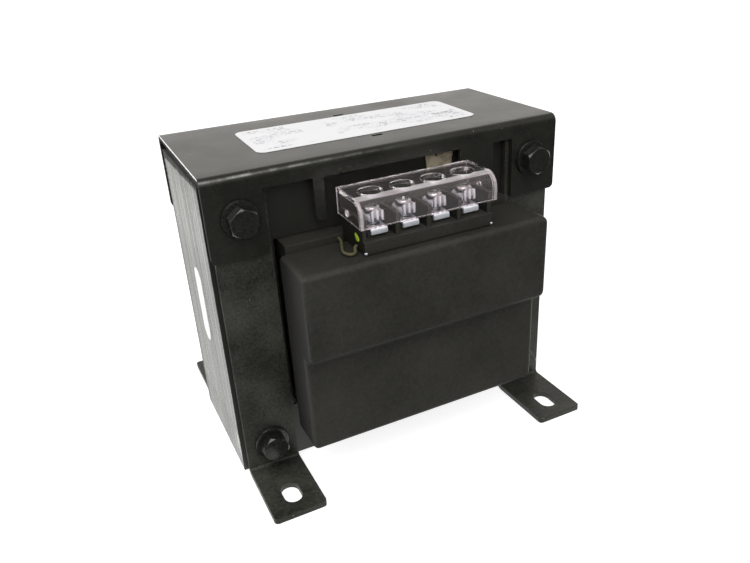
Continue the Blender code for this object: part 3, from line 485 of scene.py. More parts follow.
# Stocks: one pattern tints, the others roughen and lift the surface, or the first does where they aren't given
stocks = {
    "lackeredSteel": {
        "tint": (noise, 1500, 3), "range": (0.35, 0.65),
        "colours": ((0.040, 0.040, 0.037), (0.075, 0.074, 0.068)), "roughness": (0.15, 0.24),
        "relief": (noise, 2400, 2), "bump": (0.00002, 0.25), "fixed": {"Metallic": 0.80},
    },
    "zincPlate": {
        "tint": (noise, 700, 4), "range": (0.35, 0.7),
        "colours": ((0.62, 0.63, 0.65), (0.36, 0.36, 0.36)), "roughness": (0.16, 0.32),
        "relief": (noise, 2600, 2), "bump": (0.00002, 0.3), "fixed": {"Metallic": 1.0},
    },
    "tinPlate": {
        "tint": (noise, 380, 3), "range": (0.35, 0.7),
        "colours": ((0.88, 0.91, 0.96), (0.72, 0.75, 0.81)), "roughness": (0.28, 0.42),
        "rough": (noise, 1, 3, 0.6, (2400, 300, 2400)), "relief": (noise, 1, 3, 0.6, (2400, 300, 2400)),
        "bump": (0.00003, 0.3), "fixed": {"Metallic": 0.65},
    },
    "coreFaces": {
        "tint": (noise, 1, 4, 0.55, (120, 120, 35)),
        "colours": (core["varnish"], (0.021, 0.020, 0.017)), "roughness": (0.30, 0.45), "bump": (0.0002, 0.35),
    },
    "enamelledWire": {
        "tint": (bands, "SIN", 0, 620, 0.4, 0.5),
        "colours": ((0.16, 0.05, 0.018), (0.62, 0.25, 0.09)), "roughness": (0.24, 0.36), "rough": (noise, 300, 2),
        "bump": (0.0003, 0.9), "fixed": {"Metallic": 0.85, "Coat_Weight": 0.5},
    },
    "wrapTape": {
        "tint": (bands, "SAW", 0.05, 22, 0.6, 1.0),
        "colours": ((0.016, 0.014, 0.011), (0.040, 0.033, 0.024)), "roughness": (0.42, 0.58),
        "rough": (noise, 1, 2, 0.5, (1800, 1800, 1800)), "bump": (0.0003, 0.5), "underBump": (0.00005, 0.4),
    },
    "fibrePaper": {
        "tint": (noise, 1, 5, 0.7, (900, 900, 260)),
        "colours": ((0.24, 0.205, 0.135), (0.46, 0.41, 0.30)), "roughness": (0.85, 0.85),
        "bump": (0.00012, 0.6), "stain": (380, 4), "stainRange": (0.46, 0.66, 0, 0.8), "stained": (0.15, 0.13, 0.085),
    },
    "clearMoulding": {
        "tint": (noise, 500, 3), "roughRange": (0.45, 0.75), "roughness": (0.012, 0.045),
        "relief": (noise, 1, 2, 0.5, (60, 160, 160)), "bump": (0.0003, 0.15),
        "fixed": {"Base_Color": (0.93, 0.87, 0.89, 1), "Transmission_Weight": 0.992, "IOR": 1.44},
    },
    # painted highlight on the guard's fold and ends: whiter and less clear than the moulding
    "paintedGuardHighlight": {
        "tint": (noise, 1, 4, 0.65, (130, 1500, 1500)), "range": (0.34, 0.66),
        "colours": ((0.74, 0.64, 0.68), (0.97, 0.93, 0.95)), "roughness": (0.12, 0.26),
        "fixed": {"Transmission_Weight": 0.66, "IOR": 1.5, "Coat_Weight": 0.4},
    },
    "bareLabel": {
        "tint": (noise, 260, 4, 0.6), "range": (0.55, 0.75),
        "colours": ((0.93, 0.93, 0.92), (0.74, 0.73, 0.70)), "roughness": (0.4, 0.6), "bump": (0.00003, 0.3),
    },
    "leadSleeve": {
        "tint": (cells, 3200), "range": (0, 0.8), "roughRange": (0, 0.8),
        "colours": ((0.17, 0.155, 0.07), (0.055, 0.050, 0.024)), "roughness": (0.45, 0.65), "bump": (0.00005, 0.6),
    },
    "markPaint": {
        "tint": (noise, 1300, 3), "range": (0.5, 0.8),
        "colours": ((0.50, 0.70, 0.04), (0.20, 0.30, 0.03)), "roughness": (0.25, 0.4), "bump": (0.00006, 0.4),
    },
}


def stock(name):
    plan = stocks[name]
    made, tree, shader = newMaterial(name)
    patterns = {}
    for use in ("tint", "rough", "relief"):
        kind, *values = plan.get(use, plan["tint"])
        patterns[use] = kind(tree, *values)
    if "colours" in plan:
        colour = tinted(tree, patterns["tint"], *plan.get("range", (0, 1)), *plan["colours"])
        if "stain" in plan:
            colour = blend(tree, patches(tree, plan, "stain"), colour, plan["stained"])
        connect(shader, Base_Color=colour)
    low, high = plan.get("roughRange", (0.3, 0.7))
    connect(shader, Roughness=roughness(tree, patterns["rough"], plan, low, high), **plan.get("fixed", {}))
    under = bump(tree, patterns["rough"], *plan["underBump"]) if "underBump" in plan else None
    if "bump" in plan:
        connect(shader, Normal=bump(tree, patterns["relief"], *plan["bump"], under))
    return made


paint = paintedSheet(enamel)
footPaint = paintedSheet(footEnamel, "footPaint")
worn = wornSheetEdge(wornEdge)
stackEdge = coreEdges(core)
stackFace = stock("coreFaces")
plastic = mouldedPlastic(moulding)
nylon = mouldedPlastic({**moulding, "roughness": (0.45, 0.6)}, "mouldedNylon")
fastenerSteel = stock("lackeredSteel")
copper = stock("enamelledWire")
tape = stock("wrapTape")
paper = stock("fibrePaper")
tin = stock("tinPlate")
zinc = stock("zincPlate")
clear = stock("clearMoulding")
guardHighlight = stock("paintedGuardHighlight")
sheared = shearedEdge(cutEnd)
labelPrint = printedLabel(labelStock)
labelPlain = stock("bareLabel")
sleeve = stock("leadSleeve")
mark = stock("markPaint")
print("materials made")

finishes = {
    "e_laminations i_laminations": stackFace, "top_cover foot_bracket": paint, "washer bolt nut": fastenerSteel,
    "bobbin": nylon, "primary secondary": copper, "winding insulating_paper": paper, "coil_wrap": tape,
    "coil_cover terminal_block": plastic, "terminal_plate clamp": tin, "terminal_screw": zinc, "finger_guard": clear,
    "rating_label": labelPrint, "side_label": labelPlain, "lead_wire": sleeve,
}
for name, node in nodes.items():
    found = [finish for starts, finish in finishes.items() if name.startswith(tuple(starts.split()))]
    node.data.materials.clear()
    node.data.materials.append(found[0])


# Shape helpers
merge = 1e-6  # vertices nearer than this are one


def newPiece(name, mesh, *coats):
    piece = linked(name, mesh)
    mesh.materials.clear()
    for coat in coats:
        mesh.materials.append(coat)
    return piece


def newMesh(name, work):
    mesh = bpy.data.meshes.new(name)
    work.to_mesh(mesh)
    work.free()
    return mesh


def evaluated(piece):
    bpy.context.view_layer.update()
    graph = bpy.context.evaluated_depsgraph_get()
    return bpy.data.meshes.new_from_object(piece.evaluated_get(graph), depsgraph=graph)


def settled(piece):
    # modifiers become plain mesh, so the poses see the shape as it is drawn
    mesh = evaluated(piece)
    piece.modifiers.clear()
    piece.data = mesh
    return piece


def softened(piece, width, segments=2, angle=38, edgeFinish=0):
    bevel = piece.modifiers.new("edges", "BEVEL")
    bevel.width = width
    bevel.segments = segments
    bevel.limit_method = "ANGLE"
    bevel.angle_limit = math.radians(angle)
    bevel.material = edgeFinish
    piece.data.shade_smooth()
    piece.modifiers.new("even shading", "WEIGHTED_NORMAL").keep_sharp = True
    return settled(piece)


def fineCopy(nodeName, width, coats, segments=2, angle=38, edgeFinish=0, cuts=()):
    # the CAD node's own shape with its edges rounded off; cuts are extra lines across flat faces
    mesh = nodes[nodeName].data.copy()
    for name in [layer.name for layer in mesh.attributes if layer.name == "custom_normal"]:
        mesh.attributes.remove(mesh.attributes[name])
    work = bmesh.new()
    work.from_mesh(mesh)
    bmesh.ops.remove_doubles(work, verts=work.verts, dist=merge)
    bmesh.ops.dissolve_limit(work, angle_limit=math.radians(0.5), verts=work.verts, edges=work.edges)
    for point, normal in cuts:
        everything = [*work.verts, *work.edges, *work.faces]
        bmesh.ops.bisect_plane(work, geom=everything, plane_co=point, plane_no=normal)
    work.to_mesh(mesh)
    work.free()
    return softened(newPiece(nodeName + "_fine", mesh, *coats), width, segments, angle, edgeFinish)


def standsFor(piece, body, slot, *names):
    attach(piece, body)
    if names:
        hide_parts(*names)


def fineStand(name, body, slot, width, *coats, **cut):
    standsFor(fineCopy(name, width, coats, **cut), body, slot, name)


def tidied(mesh):
    work = bmesh.new()
    work.from_mesh(mesh)
    bmesh.ops.remove_doubles(work, verts=work.verts, dist=merge)
    bmesh.ops.recalc_face_normals(work, faces=work.faces)
    work.to_mesh(mesh)
    work.free()
    return mesh


def outlineSheet(name, loops, thickness):
    # a flat outline with holes in the XZ plane, centred on y = 0
    curve = bpy.data.curves.new(name, "CURVE")
    curve.dimensions = "2D"
    curve.fill_mode = "BOTH"
    curve.extrude = thickness / 2
    for loop in loops:
        spline = curve.splines.new("POLY")
        spline.points.add(len(loop) - 1)
        spline.use_cyclic_u = True
        for point, (x, z) in zip(spline.points, loop):
            point.co = (x, z, 0, 1)
    drawn = linked(name, curve)
    mesh = evaluated(drawn)
    discard(drawn)
    mesh.transform(Matrix.Rotation(math.radians(90), 4, "X"))
    return tidied(mesh)


def circle(radius, steps, x=0, z=0):
    angles = [math.tau * k / steps for k in range(steps)]
    return [(x + radius * math.cos(angle), z + radius * math.sin(angle)) for angle in angles]


def turnedMesh(name, profile, steps):
    # (radius, height) points swept round Z
    work = bmesh.new()
    rings = [[work.verts.new((x, y, height)) for x, y in circle(radius, steps)] for radius, height in profile]
    for lower, upper in zip(rings, rings[1:]):
        for k in range(steps):
            work.faces.new((lower[k], lower[k - 1], upper[k - 1], upper[k]))
    if profile[0][0] > 0:
        work.faces.new(rings[0])
    if profile[-1][0] > 0:
        work.faces.new(rings[-1][::-1])
    return tidied(newMesh(name, work))


def smoothTurned(name, profile, steps, angle=40):
    mesh = turnedMesh(name, profile, steps)
    mesh.shade_smooth()
    mesh.set_sharp_from_angle(angle=math.radians(angle))
    return mesh


def merged(name, *meshes):
    work = bmesh.new()
    for mesh in meshes:
        work.from_mesh(mesh)
    return newMesh(name, work)


def carved(piece, tool, operation):
    cut = piece.modifiers.new("cut", "BOOLEAN")
    cut.operation = operation
    cut.solver = "EXACT"
    cut.object = tool
    piece = settled(piece)
    discard(tool)
    return piece


# Geometry Nodes: named inputs, set on the modifier by their identifiers
def newTree(name, inputs):
    tree = bpy.data.node_groups.new(name, "GeometryNodeTree")
    tree.interface.new_socket("Geometry", in_out="INPUT", socket_type="NodeSocketGeometry")
    for label, kind in inputs.items():
        tree.interface.new_socket(label, in_out="INPUT", socket_type="NodeSocket" + kind)
    tree.interface.new_socket("Geometry", in_out="OUTPUT", socket_type="NodeSocketGeometry")
    return tree, tree.nodes.new("NodeGroupInput").outputs


def closeTree(tree, geometry, finish, face=None):
    # real geometry with its finish; face is a second finish, for what looks along y
    solid = result(tree, "GeometryNodeRealizeInstances", Geometry=geometry)
    solid = result(tree, "GeometryNodeSetMaterial", Geometry=solid, Material=finish)
    if face is not None:
        facing = axes(tree, result(tree, "GeometryNodeInputNormal"))[1]
        flat = maths(tree, "GREATER_THAN", maths(tree, "ABSOLUTE", facing), 0.9)
        solid = result(tree, "GeometryNodeSetMaterial", Geometry=solid, Selection=flat, Material=face)
    addNode(tree, "NodeGroupOutput", _0=solid)
    return tree


def grown(host, tree, values):
    modifier = host.modifiers.new(tree.name, "NODES")
    modifier.node_group = tree
    for item in tree.interface.items_tree:
        if item.item_type == "SOCKET" and item.in_out == "INPUT" and item.name in values:
            modifier[item.identifier] = values[item.name]
    return settled(host)


def stackTree():
    kinds = {"Sheets": "Int", "Pitch": "Float", "Stray": "Float", "Seed": "Int", "Edge": "Material", "Face": "Material"}
    tree, given = newTree("stacked sheets", kinds)
    half = times(tree, minus(tree, given["Sheets"], 1.0), times(tree, given["Pitch"], -0.5))
    start = result(tree, "ShaderNodeCombineXYZ", Y=half)
    step = result(tree, "ShaderNodeCombineXYZ", Y=given["Pitch"])
    line = result(tree, "GeometryNodeMeshLine", Count=given["Sheets"], Start_Location=start, Offset=step)
    sheets = result(tree, "GeometryNodeInstanceOnPoints", Points=line, Instance=given["Geometry"])
    spread = {"_0": (-1, 0, -1), "_1": (1, 0, 1), "Seed": given["Seed"]}
    stray = result(tree, "FunctionNodeRandomValue", {"data_type": "FLOAT_VECTOR"}, **spread)
    shift = result(tree, "ShaderNodeVectorMath", {"operation": "SCALE"}, _0=stray, Scale=given["Stray"])
    sheets = result(tree, "GeometryNodeTranslateInstances", Instances=sheets, Translation=shift)
    return closeTree(tree, sheets, given["Edge"], given["Face"])


def fastenerTree():
    kinds = {"Fastener": "Object", "Lean": "Vector", "Seed": "Int", "Finish": "Material"}
    tree, given = newTree("fasteners on points", kinds)
    shape = addNode(tree, "GeometryNodeObjectInfo", Object=given["Fastener"]).outputs["Geometry"]
    places = {"Points": given["Geometry"], "Instance": shape, "Rotation": given["Lean"]}
    placed = result(tree, "GeometryNodeInstanceOnPoints", **places)
    angles = {"_2": 0.0, "_3": math.tau, "Seed": given["Seed"]}
    spin = addNode(tree, "FunctionNodeRandomValue", {"data_type": "FLOAT"}, **angles).outputs[1]
    about = result(tree, "ShaderNodeCombineXYZ", Z=spin)
    turned = result(tree, "GeometryNodeRotateInstances", Instances=placed, Rotation=about)
    return closeTree(tree, turned, given["Finish"])


def threadTree():
    kinds = {name: "Float" for name in ("Turns", "Radius", "Length", "Top", "Ridge")}
    tree, given = newTree("screw thread", {**kinds, "Finish": "Material"})
    helix = result(
        tree, "GeometryNodeCurveSpiral", Resolution=18, Rotations=given["Turns"], Start_Radius=given["Radius"],
        End_Radius=given["Radius"], Height=given["Length"],
    )
    down = result(tree, "ShaderNodeCombineXYZ", Z=minus(tree, given["Top"], given["Length"]))
    helix = result(tree, "GeometryNodeTransform", Geometry=helix, Translation=down)
    profile = result(tree, "GeometryNodeCurvePrimitiveCircle", Resolution=4, Radius=given["Ridge"])
    ridge = result(tree, "GeometryNodeCurveToMesh", Curve=helix, Profile_Curve=profile, Fill_Caps=True)
    both = addNode(tree, "GeometryNodeJoinGeometry")
    tree.links.new(given["Geometry"], both.inputs[0])
    tree.links.new(ridge, both.inputs[0])
    return closeTree(tree, both.outputs[0], given["Finish"])


print("helpers ready")


# Core: E and I sheets stacked one by one
stack = {
    "sheets": 90,
    "share": 0.965,  # of the pitch that a sheet fills
    "stray": 0.00003, "seed": 7, "tongue": 0.0381, "leg": 0.01905, "holeInset": 0.009525, "holeRadius": 0.0027,
}


def makeCore(plan):
    low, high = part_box("e_laminations")
    side, legsEnd, top = high.x, low.z, high.z
    yoke = top - plan["leg"]
    inner = side - plan["leg"]
    tongue = plan["tongue"] / 2
    outline = [
        (-side, legsEnd), (-inner, legsEnd), (-inner, yoke), (-tongue, yoke), (-tongue, legsEnd), (tongue, legsEnd),
        (tongue, yoke), (inner, yoke), (inner, legsEnd), (side, legsEnd), (side, top), (-side, top),
    ]
    barLow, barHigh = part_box("i_laminations")
    bar = [(-side, barLow.z), (side, barLow.z), (side, barHigh.z), (-side, barHigh.z)]
    inset = plan["holeInset"]
    pitch = (high.y - low.y) / plan["sheets"]
    values = {
        "Sheets": plan["sheets"], "Pitch": pitch, "Stray": plan["stray"], "Seed": plan["seed"],
        "Edge": stackEdge, "Face": stackFace,
    }
    tree = stackTree()
    for name, loop, height in (("e", outline, top - inset), ("i", bar, barLow.z + inset)):
        holes = [circle(plan["holeRadius"], 20, x, height) for x in (inset - side, side - inset)]
        sheet = outlineSheet(name + "_sheet", [loop, *holes], pitch * plan["share"])
        piece = grown(newPiece(name + "_sheets", sheet, stackEdge, stackFace), tree, values)
        standsFor(piece, "frame", "core_steel", name + "_laminations")


makeCore(stack)
print("core stacked")


# Folded cover, lifted a little at its left rear corner, with the print label on it
coverShape = {
    "edge": 0.00014,
    "labelEdge": 0.00003,
    "lift": 0.0011,
    "cutsX": [k * 0.0095 for k in range(1, 12)],  # from the left end, so that the lift can bend the sheet
    "cutsY": [k * 0.0067 + 0.0001 for k in range(-3, 4)],
    "endDepth": 0.0002,
}


def liftedCorner(mesh, plan):
    low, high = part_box("top_cover")
    heights = mesh.attributes.new("restHeight", "FLOAT", "POINT")
    for vertex in mesh.vertices:
        heights.data[vertex.index].value = vertex.co.z
        left = (high.x - vertex.co.x) / (high.x - low.x)
        back = (vertex.co.y - low.y) / (high.y - low.y)
        vertex.co.z += plan["lift"] * left * back


def makeCover(plan):
    low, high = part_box("top_cover")
    cuts = [((low.x + x, 0, 0), (1, 0, 0)) for x in plan["cutsX"]]
    cuts += [((0, y, 0), (0, 1, 0)) for y in plan["cutsY"]]
    cover = fineCopy("top_cover", plan["edge"], (paint, sheared), cuts=cuts)
    for face in cover.data.polygons:
        if abs(face.center.x) > high.x - plan["endDepth"]:
            face.material_index = 1
    liftedCorner(cover.data, plan)
    standsFor(cover, "frame", "black_paint", "top_cover")
    label = fineCopy("rating_label", plan["labelEdge"], (labelPrint,), cuts=cuts)
    liftedCorner(label.data, plan)
    standsFor(label, "frame", "label_white", "rating_label")


makeCover(coverShape)
print("cover folded")


# Feet
footShape = {"edge": 0.00016}
for end in ends:
    for side in sides:
        name = f"foot_bracket_{end}_{side}"
        fineStand(name, "frame", "black_paint", footShape["edge"], footPaint, worn, edgeFinish=1)
print("feet made")


# Bolts with washers in front, flange nuts and threaded ends behind
fastener = {
    "across": 0.0079, "headHeight": 0.0034, "chamfer": 0.00078,
    "crown": (0.985, 1.02),  # shares of the flats and of the corners that the turned chamfer starts from
    "edge": 0.00012, "washerRadius": 0.0056, "washerSheet": 0.0010, "shank": 0.0024, "shankEnd": -0.03,
    "nutHeight": 0.0042, "skirt": [(0.0042, 0.0014), (0.0050, 0.0011), (0.0056, 0.0007), (0.0056, 0), (0, 0)],
    "tip": 0.0062, "tipRadius": 0.0015, "threadRadius": 0.0021, "threadLength": 0.004, "pitch": 0.0008,
    "ridge": 0.34,  # of the pitch
    "gap": 0.0003, "seed": 5,
}


def hexMesh(name, plan, low, high):
    across, chamfer = plan["across"], plan["chamfer"]
    size = across / math.sqrt(3)
    work = bmesh.new()
    bmesh.ops.create_cone(work, cap_ends=True, segments=6, radius1=size, radius2=size, depth=high - low)
    bmesh.ops.translate(work, verts=work.verts, vec=(0, 0, (low + high) / 2))
    body = newPiece(name, newMesh(name, work))
    flats, corners = plan["crown"]
    crown = [(across / 2 * flats, high), (size * corners, high - chamfer), (size * corners, low - chamfer)]
    tool = newPiece(name + "_crown", turnedMesh(name + "_crown", crown, 48))
    body = softened(carved(body, tool, "INTERSECT"), plan["edge"], 2, 25)
    made = body.data
    discard(body)
    return made


def threaded(name, mesh, finish, radius, plan, top, length):
    pitch = plan["pitch"]
    values = {
        "Turns": length / pitch, "Radius": radius, "Length": length, "Top": top, "Ridge": pitch * plan["ridge"],
        "Finish": finish,
    }
    return grown(newPiece(name, mesh, finish), screwThread, values)


def frontFastener(plan):
    rim, sheet = plan["washerRadius"], plan["washerSheet"]
    washer = [(0, sheet), (rim - 0.0007, sheet), (rim - 0.0002, sheet * 0.86), (rim, sheet * 0.5), (rim, 0), (0, 0)]
    disc = smoothTurned("washer", washer, 48, 30)
    seat = sheet + plan["gap"]
    head = hexMesh("hexHead", plan, seat, seat + plan["headHeight"])
    shank = smoothTurned("shank", [(plan["shank"], seat), (plan["shank"], plan["shankEnd"])], 24)
    return newPiece("boltHead", merged("boltHead", disc, head, shank), fastenerSteel)


def rearFastener(plan):
    nut = hexMesh("hexNut", plan, 0, plan["nutHeight"])
    skirt = smoothTurned("skirt", plan["skirt"], 40, 50)
    tip, radius = plan["tip"], plan["threadRadius"]
    profile = [(plan["tipRadius"], tip), (radius, tip - 0.0005), (radius, plan["shankEnd"])]
    whole = merged("flangeNut", nut, skirt, smoothTurned("boltEnd", profile, 24))
    return threaded("flangeNut", whole, fastenerSteel, radius, plan, tip - 0.0004, plan["threadLength"])


def makeFasteners(plan):
    kinds = (
        ("bolt_heads", frontFastener(plan), 90, ("washer", "bolt")),
        ("bolt_nuts", rearFastener(plan), -90, ("nut",)),
    )
    tree = fastenerTree()
    for kind, shape, lean, solids in kinds:
        places = []
        names = []
        for corner in [f"{level}_{side}" for level in ("upper", "lower") for side in sides]:
            own = [f"{solid}_{corner}" for solid in solids]
            low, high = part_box(own[0])
            places.append(((low.x + high.x) / 2, high.y if lean > 0 else low.y, (low.z + high.z) / 2))
            names += own
        mesh = bpy.data.meshes.new(kind)
        mesh.from_pydata(places, [], [])
        values = {
            "Fastener": shape, "Lean": (math.radians(lean), 0, 0), "Seed": plan["seed"], "Finish": fastenerSteel,
        }
        host = grown(newPiece(kind, mesh, fastenerSteel), tree, values)
        standsFor(host, "frame", "black_steel", *names)
        discard(shape)


screwThread = threadTree()
makeFasteners(fastener)
print("fasteners placed")


# Coil: bobbin and moulded covers
coilShape = {"bobbinEdge": 0.00018, "coverEdge": 0.0003}
fineStand("bobbin", "frame", "bobbin_nylon", coilShape["bobbinEdge"], nylon)
for end in ends:
    fineStand(f"coil_cover_{end}", "frame", "black_plastic", coilShape["coverEdge"], plastic, angle=50)
print("coil covered")


# Terminals: block, plates, clamps, screws and the clear guard
terminal = {
    "blockEdge": 0.00015, "plateEdge": 0.00010, "clampEdge": 0.00014, "headRadius": 0.0024, "headHeight": 0.0018,
    "shank": 0.0015, "slot": 0.0008, "slotDepth": 0.0009, "slotReach": 0.0019, "slotTaper": 0.72, "pitch": 0.00079,
    "ridge": 0.34,  # of the pitch
    "threadTop": -0.0006,
    "threadShort": 0.0012,  # the thread is this much shorter than the shank
    "turns": {"front": (0.3, 1.1, 0.7, 1.9), "rear": (0.5, 1.4, 0.1, 0.9)},  # of the screws, in radians
    "guardEdge": 0.00028,
    "guardEnd": 0.0010,  # painted highlight strips at the guard's two ends
    "tabEdge": 0.00010, "tabWide": 0.0042, "tabSheet": 0.0004,
    "tabFace": 0.0030,  # from the screw's axis to the tab's back
    "tabTop": 0.0869,
    "tabCrown": 0.4,  # height of its round top, of its width
    "tabBottom": 0.0834, "wireRidges": (-1, 0, 1),
    "wireRidgeSpread": 0.72,  # of the tab's half width
    "wireRidge": (0.00036, 0.00030, 0.0013),  # half sizes
    "wireRidgeLift": 0.0002, "pin": 0.00042,
}


def clampTab(plan, name, axis, forward):
    # the clamp's front sheet, turned up, with upright ridges that guide the wire
    wide, sheet, face = plan["tabWide"] / 2, plan["tabSheet"], plan["tabFace"]
    bottom, top, crown = plan["tabBottom"], plan["tabTop"], plan["tabWide"] * plan["tabCrown"]
    angles = [k * math.pi / 10 for k in range(11)]
    arch = [(wide * math.cos(angle), top - crown + crown * math.sin(angle)) for angle in angles]
    tab = outlineSheet(name + "_tab", [[(-wide, bottom), (wide, bottom), *arch]], sheet)
    tab.transform(Matrix.Translation((axis.x, axis.y + forward * (face + sheet / 2), 0)))
    back = softened(newPiece(name + "_tab", tab, zinc), plan["tabEdge"])
    work = bmesh.new()
    work.from_mesh(back.data)
    halfX, halfY, halfZ = plan["wireRidge"]
    for share in plan["wireRidges"]:
        ridge = bmesh.ops.create_cone(work, cap_ends=True, segments=12, radius1=1, radius2=1, depth=2)["verts"]
        x = axis.x + share * wide * plan["wireRidgeSpread"]
        z = bottom + halfZ + plan["wireRidgeLift"] * (2 - abs(share))
        middle = Vector((x, axis.y + forward * (face + sheet), z))
        for vertex in ridge:
            vertex.co = middle + Vector((vertex.co.x * halfX, vertex.co.y * halfY, vertex.co.z * halfZ))
            for side in vertex.link_faces:
                side.material_index = 1
    work.to_mesh(back.data)
    work.free()
    back.data.materials.append(tin)
    return back


def crossHeadScrew(plan, length):
    radius, height, shank = plan["headRadius"], plan["headHeight"], plan["shank"]
    dome = [(0, 1), (0.45, 0.985), (0.72, 0.93), (0.90, 0.78), (0.985, 0.55), (1, 0.3), (1, 0)]
    profile = [(radius * out, height * up) for out, up in dome]
    profile += [(shank, 0), (shank, -length + 0.0005), (shank * 0.7, -length), (0, -length)]
    screw = newPiece("screwBlank", smoothTurned("screwBlank", profile, 40, 50), zinc)
    depth, reach, slot = plan["slotDepth"], plan["slotReach"], plan["slot"] / 2
    for wide, deep in ((reach, slot), (slot, reach)):
        work = bmesh.new()
        bmesh.ops.create_cube(work, size=2)
        for vertex in work.verts:
            taper = plan["slotTaper"] if vertex.co.z < 0 else 1
            vertex.co = (vertex.co.x * wide * taper, vertex.co.y * deep * taper, height + vertex.co.z * depth)
        screw = carved(screw, newPiece("recess", newMesh("recess", work)), "DIFFERENCE")
    threadLength = length - plan["threadShort"]
    made = threaded("screwBlank", screw.data, zinc, shank, plan, plan["threadTop"], threadLength)
    discard(screw)
    return made


def makeStation(plan, end, number, blank):
    # one terminal: plate, clamp, screw and the clamp's tab
    own = f"{end}_{number}"
    fineStand(f"terminal_plate_{own}", "frame", "tinned_metal", plan["plateEdge"], tin)
    fineStand(f"clamp_plate_{own}", f"clamp_{own}", "tinned_metal", plan["clampEdge"], tin)
    name = f"terminal_screw_{own}"
    low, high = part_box(name)
    seat = Vector(((low.x + high.x) / 2, (low.y + high.y) / 2, high.z - plan["headHeight"]))
    screw = newPiece(name + "_fine", blank.data.copy(), zinc)
    spin = Matrix.Rotation(plan["turns"][end][number - 1], 4, "Z")
    screw.data.transform(Matrix.Translation(seat) @ spin)
    standsFor(screw, f"screw_{own}", "bright_screw", name)
    tab = clampTab(plan, f"clamp_plate_{own}", seat, -1 if end == "front" else 1)
    standsFor(tab, f"clamp_{own}", "tinned_metal")


def makeGuard(plan, end):
    name = f"finger_guard_{end}"
    low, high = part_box(name)
    strip = plan["guardEnd"]
    cuts = [((x, 0, 0), (1, 0, 0)) for x in (low.x + strip, high.x - strip)]
    guard = fineCopy(name, plan["guardEdge"], (clear, guardHighlight), segments=3, edgeFinish=1, cuts=cuts)
    # painted highlight: the moulding's fold and its two ends get a whiter, less clear finish all along
    for face in guard.data.polygons:
        fold = face.normal.z > 0.85 and abs(face.normal.y) > 0.1
        tip = min(face.center.x - low.x, high.x - face.center.x) < strip and abs(face.normal.y) > 0.4
        if fold or tip:
            face.material_index = 1
    guard.visible_shadow = False  # clear plastic lets the lamps through
    standsFor(guard, f"guard_{end}", "clear_plastic", name)


def makePins(plan, end):
    # bright pin ends at the block's lower corners
    low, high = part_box(f"terminal_block_{end}")
    pin = plan["pin"]
    profile = [(0, pin * 0.7), (pin * 0.6, pin * 0.5), (pin * 0.92, pin * 0.15), (pin, -pin), (0, -pin)]
    face, lean = (low.y, 90) if end == "front" else (high.y, -90)
    pins = []
    for x in (low.x + pin * 0.8, high.x - pin * 0.8):
        pins.append(smoothTurned("pin", profile, 16))
        at = Matrix.Translation((x, face, low.z + pin * 1.2))
        pins[-1].transform(at @ Matrix.Rotation(math.radians(lean), 4, "X"))
    standsFor(newPiece(f"block_pins_{end}", merged("pins", *pins), tin), "frame", "tinned_metal")


def makeTerminals(plan):
    low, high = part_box("terminal_screw_front_1")
    blank = crossHeadScrew(plan, high.z - low.z - plan["headHeight"])
    for end in ends:
        fineStand(f"terminal_block_{end}", "frame", "black_plastic", plan["blockEdge"], plastic)
        for number in range(1, 5):
            makeStation(plan, end, number, blank)
        makeGuard(plan, end)
        makePins(plan, end)
    discard(blank)


makeTerminals(terminal)
print("terminals made")


# Paint mark on the block's left end, and the ragged paper flag
markShape = {"y": -0.0394, "z": 0.0793, "wide": 0.0030, "tall": 0.0019, "tilt": 0.5, "thick": 0.00012, "wobble": 0.08}


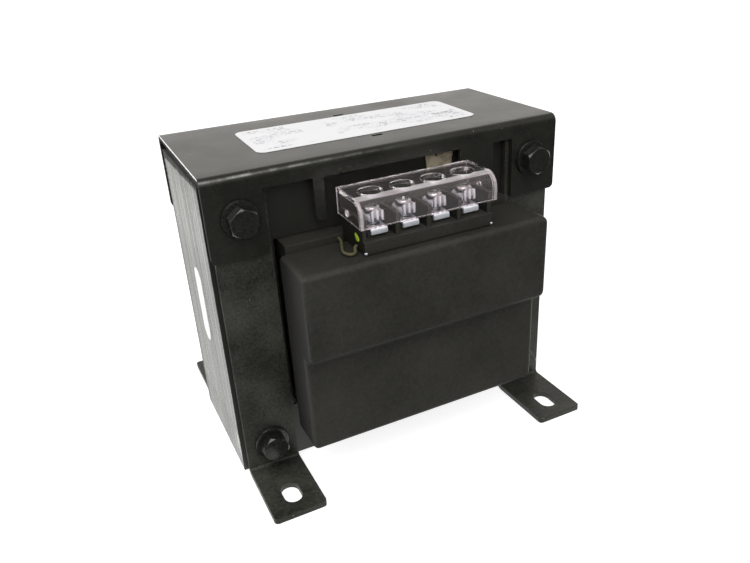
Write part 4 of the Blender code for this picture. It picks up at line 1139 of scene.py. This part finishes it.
def makeMark(plan):
    low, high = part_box("terminal_block_front")
    work = bmesh.new()
    bmesh.ops.create_uvsphere(work, u_segments=28, v_segments=14, radius=1)
    c, s = math.cos(plan["tilt"]), math.sin(plan["tilt"])
    for vertex in work.verts:
        across, up, out = vertex.co
        wobble = 1 + plan["wobble"] * math.sin(3 * math.atan2(up, across) + 0.6)
        across *= plan["wide"] / 2 * wobble
        up *= plan["tall"] / 2 * wobble
        x = low.x - out * plan["thick"]
        vertex.co = (x, plan["y"] + across * c - up * s, plan["z"] + across * s + up * c)
    mesh = newMesh("paintMark", work)
    mesh.shade_smooth()
    standsFor(newPiece("paint_mark", tidied(mesh), mark), "frame", "label_white")


paperShape = {
    "across": 26, "up": 34, "wall": 0.00022,
    "short": 0.0009,  # room for the ragged top
    "ragged": ((0.0008, 9, 1), (0.0005, 31, 0), (0.0004, 57, 2)),  # height, turns and start of each wave
    "flare": 0.00035, "sag": 0.00035, "ripple": 0.00012, "front": 0.00008,
}


def makePaper(plan):
    low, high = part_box("insulating_paper")
    across, up = plan["across"], plan["up"]
    work = bmesh.new()
    grid = []
    for j in range(up + 1):
        row = []
        for i in range(across + 1):
            u, v = i / across, j / up
            edge = sum(tall * math.sin(turns * u + start) for tall, turns, start in plan["ragged"])
            z = low.z + (high.z - low.z - plan["short"]) * v + edge * v ** 6
            flare = plan["flare"] * math.sin(7 * v) * (1 if u > 0.5 else -1) * abs(2 * u - 1) ** 6
            sag = plan["sag"] * math.sin(math.pi * u) * v * v
            y = low.y + plan["front"] - sag - plan["ripple"] * math.sin(14 * u + 5 * v)
            row.append(work.verts.new((low.x + (high.x - low.x) * u + flare, y, z)))
        grid.append(row)
    for lower, upper in zip(grid, grid[1:]):
        for i in range(across):
            work.faces.new((lower[i], lower[i + 1], upper[i + 1], upper[i]))
    mesh = newMesh("paperFlag", work)
    mesh.shade_smooth()
    piece = newPiece("paper_flag", mesh, paper)
    wall = piece.modifiers.new("wall", "SOLIDIFY")
    wall.thickness = plan["wall"]
    wall.offset = 0
    standsFor(settled(piece), "frame", "insulating_paper", "insulating_paper")


makeMark(markShape)
makePaper(paperShape)
print("paper and mark made")


# Leads: the solid's tube, made round
leadShape = {"edge": 0.00002, "rounds": 2}
for end in ends:
    name = f"lead_wire_{end}"
    lead = fineCopy(name, leadShape["edge"], (sleeve,), angle=80)
    rounder = lead.modifiers.new("round", "SUBSURF")
    rounder.levels = rounder.render_levels = leadShape["rounds"]
    lead = settled(lead)
    lead.data.shade_smooth()
    standsFor(lead, "frame", "lead_sleeve", name)
print("leads made")
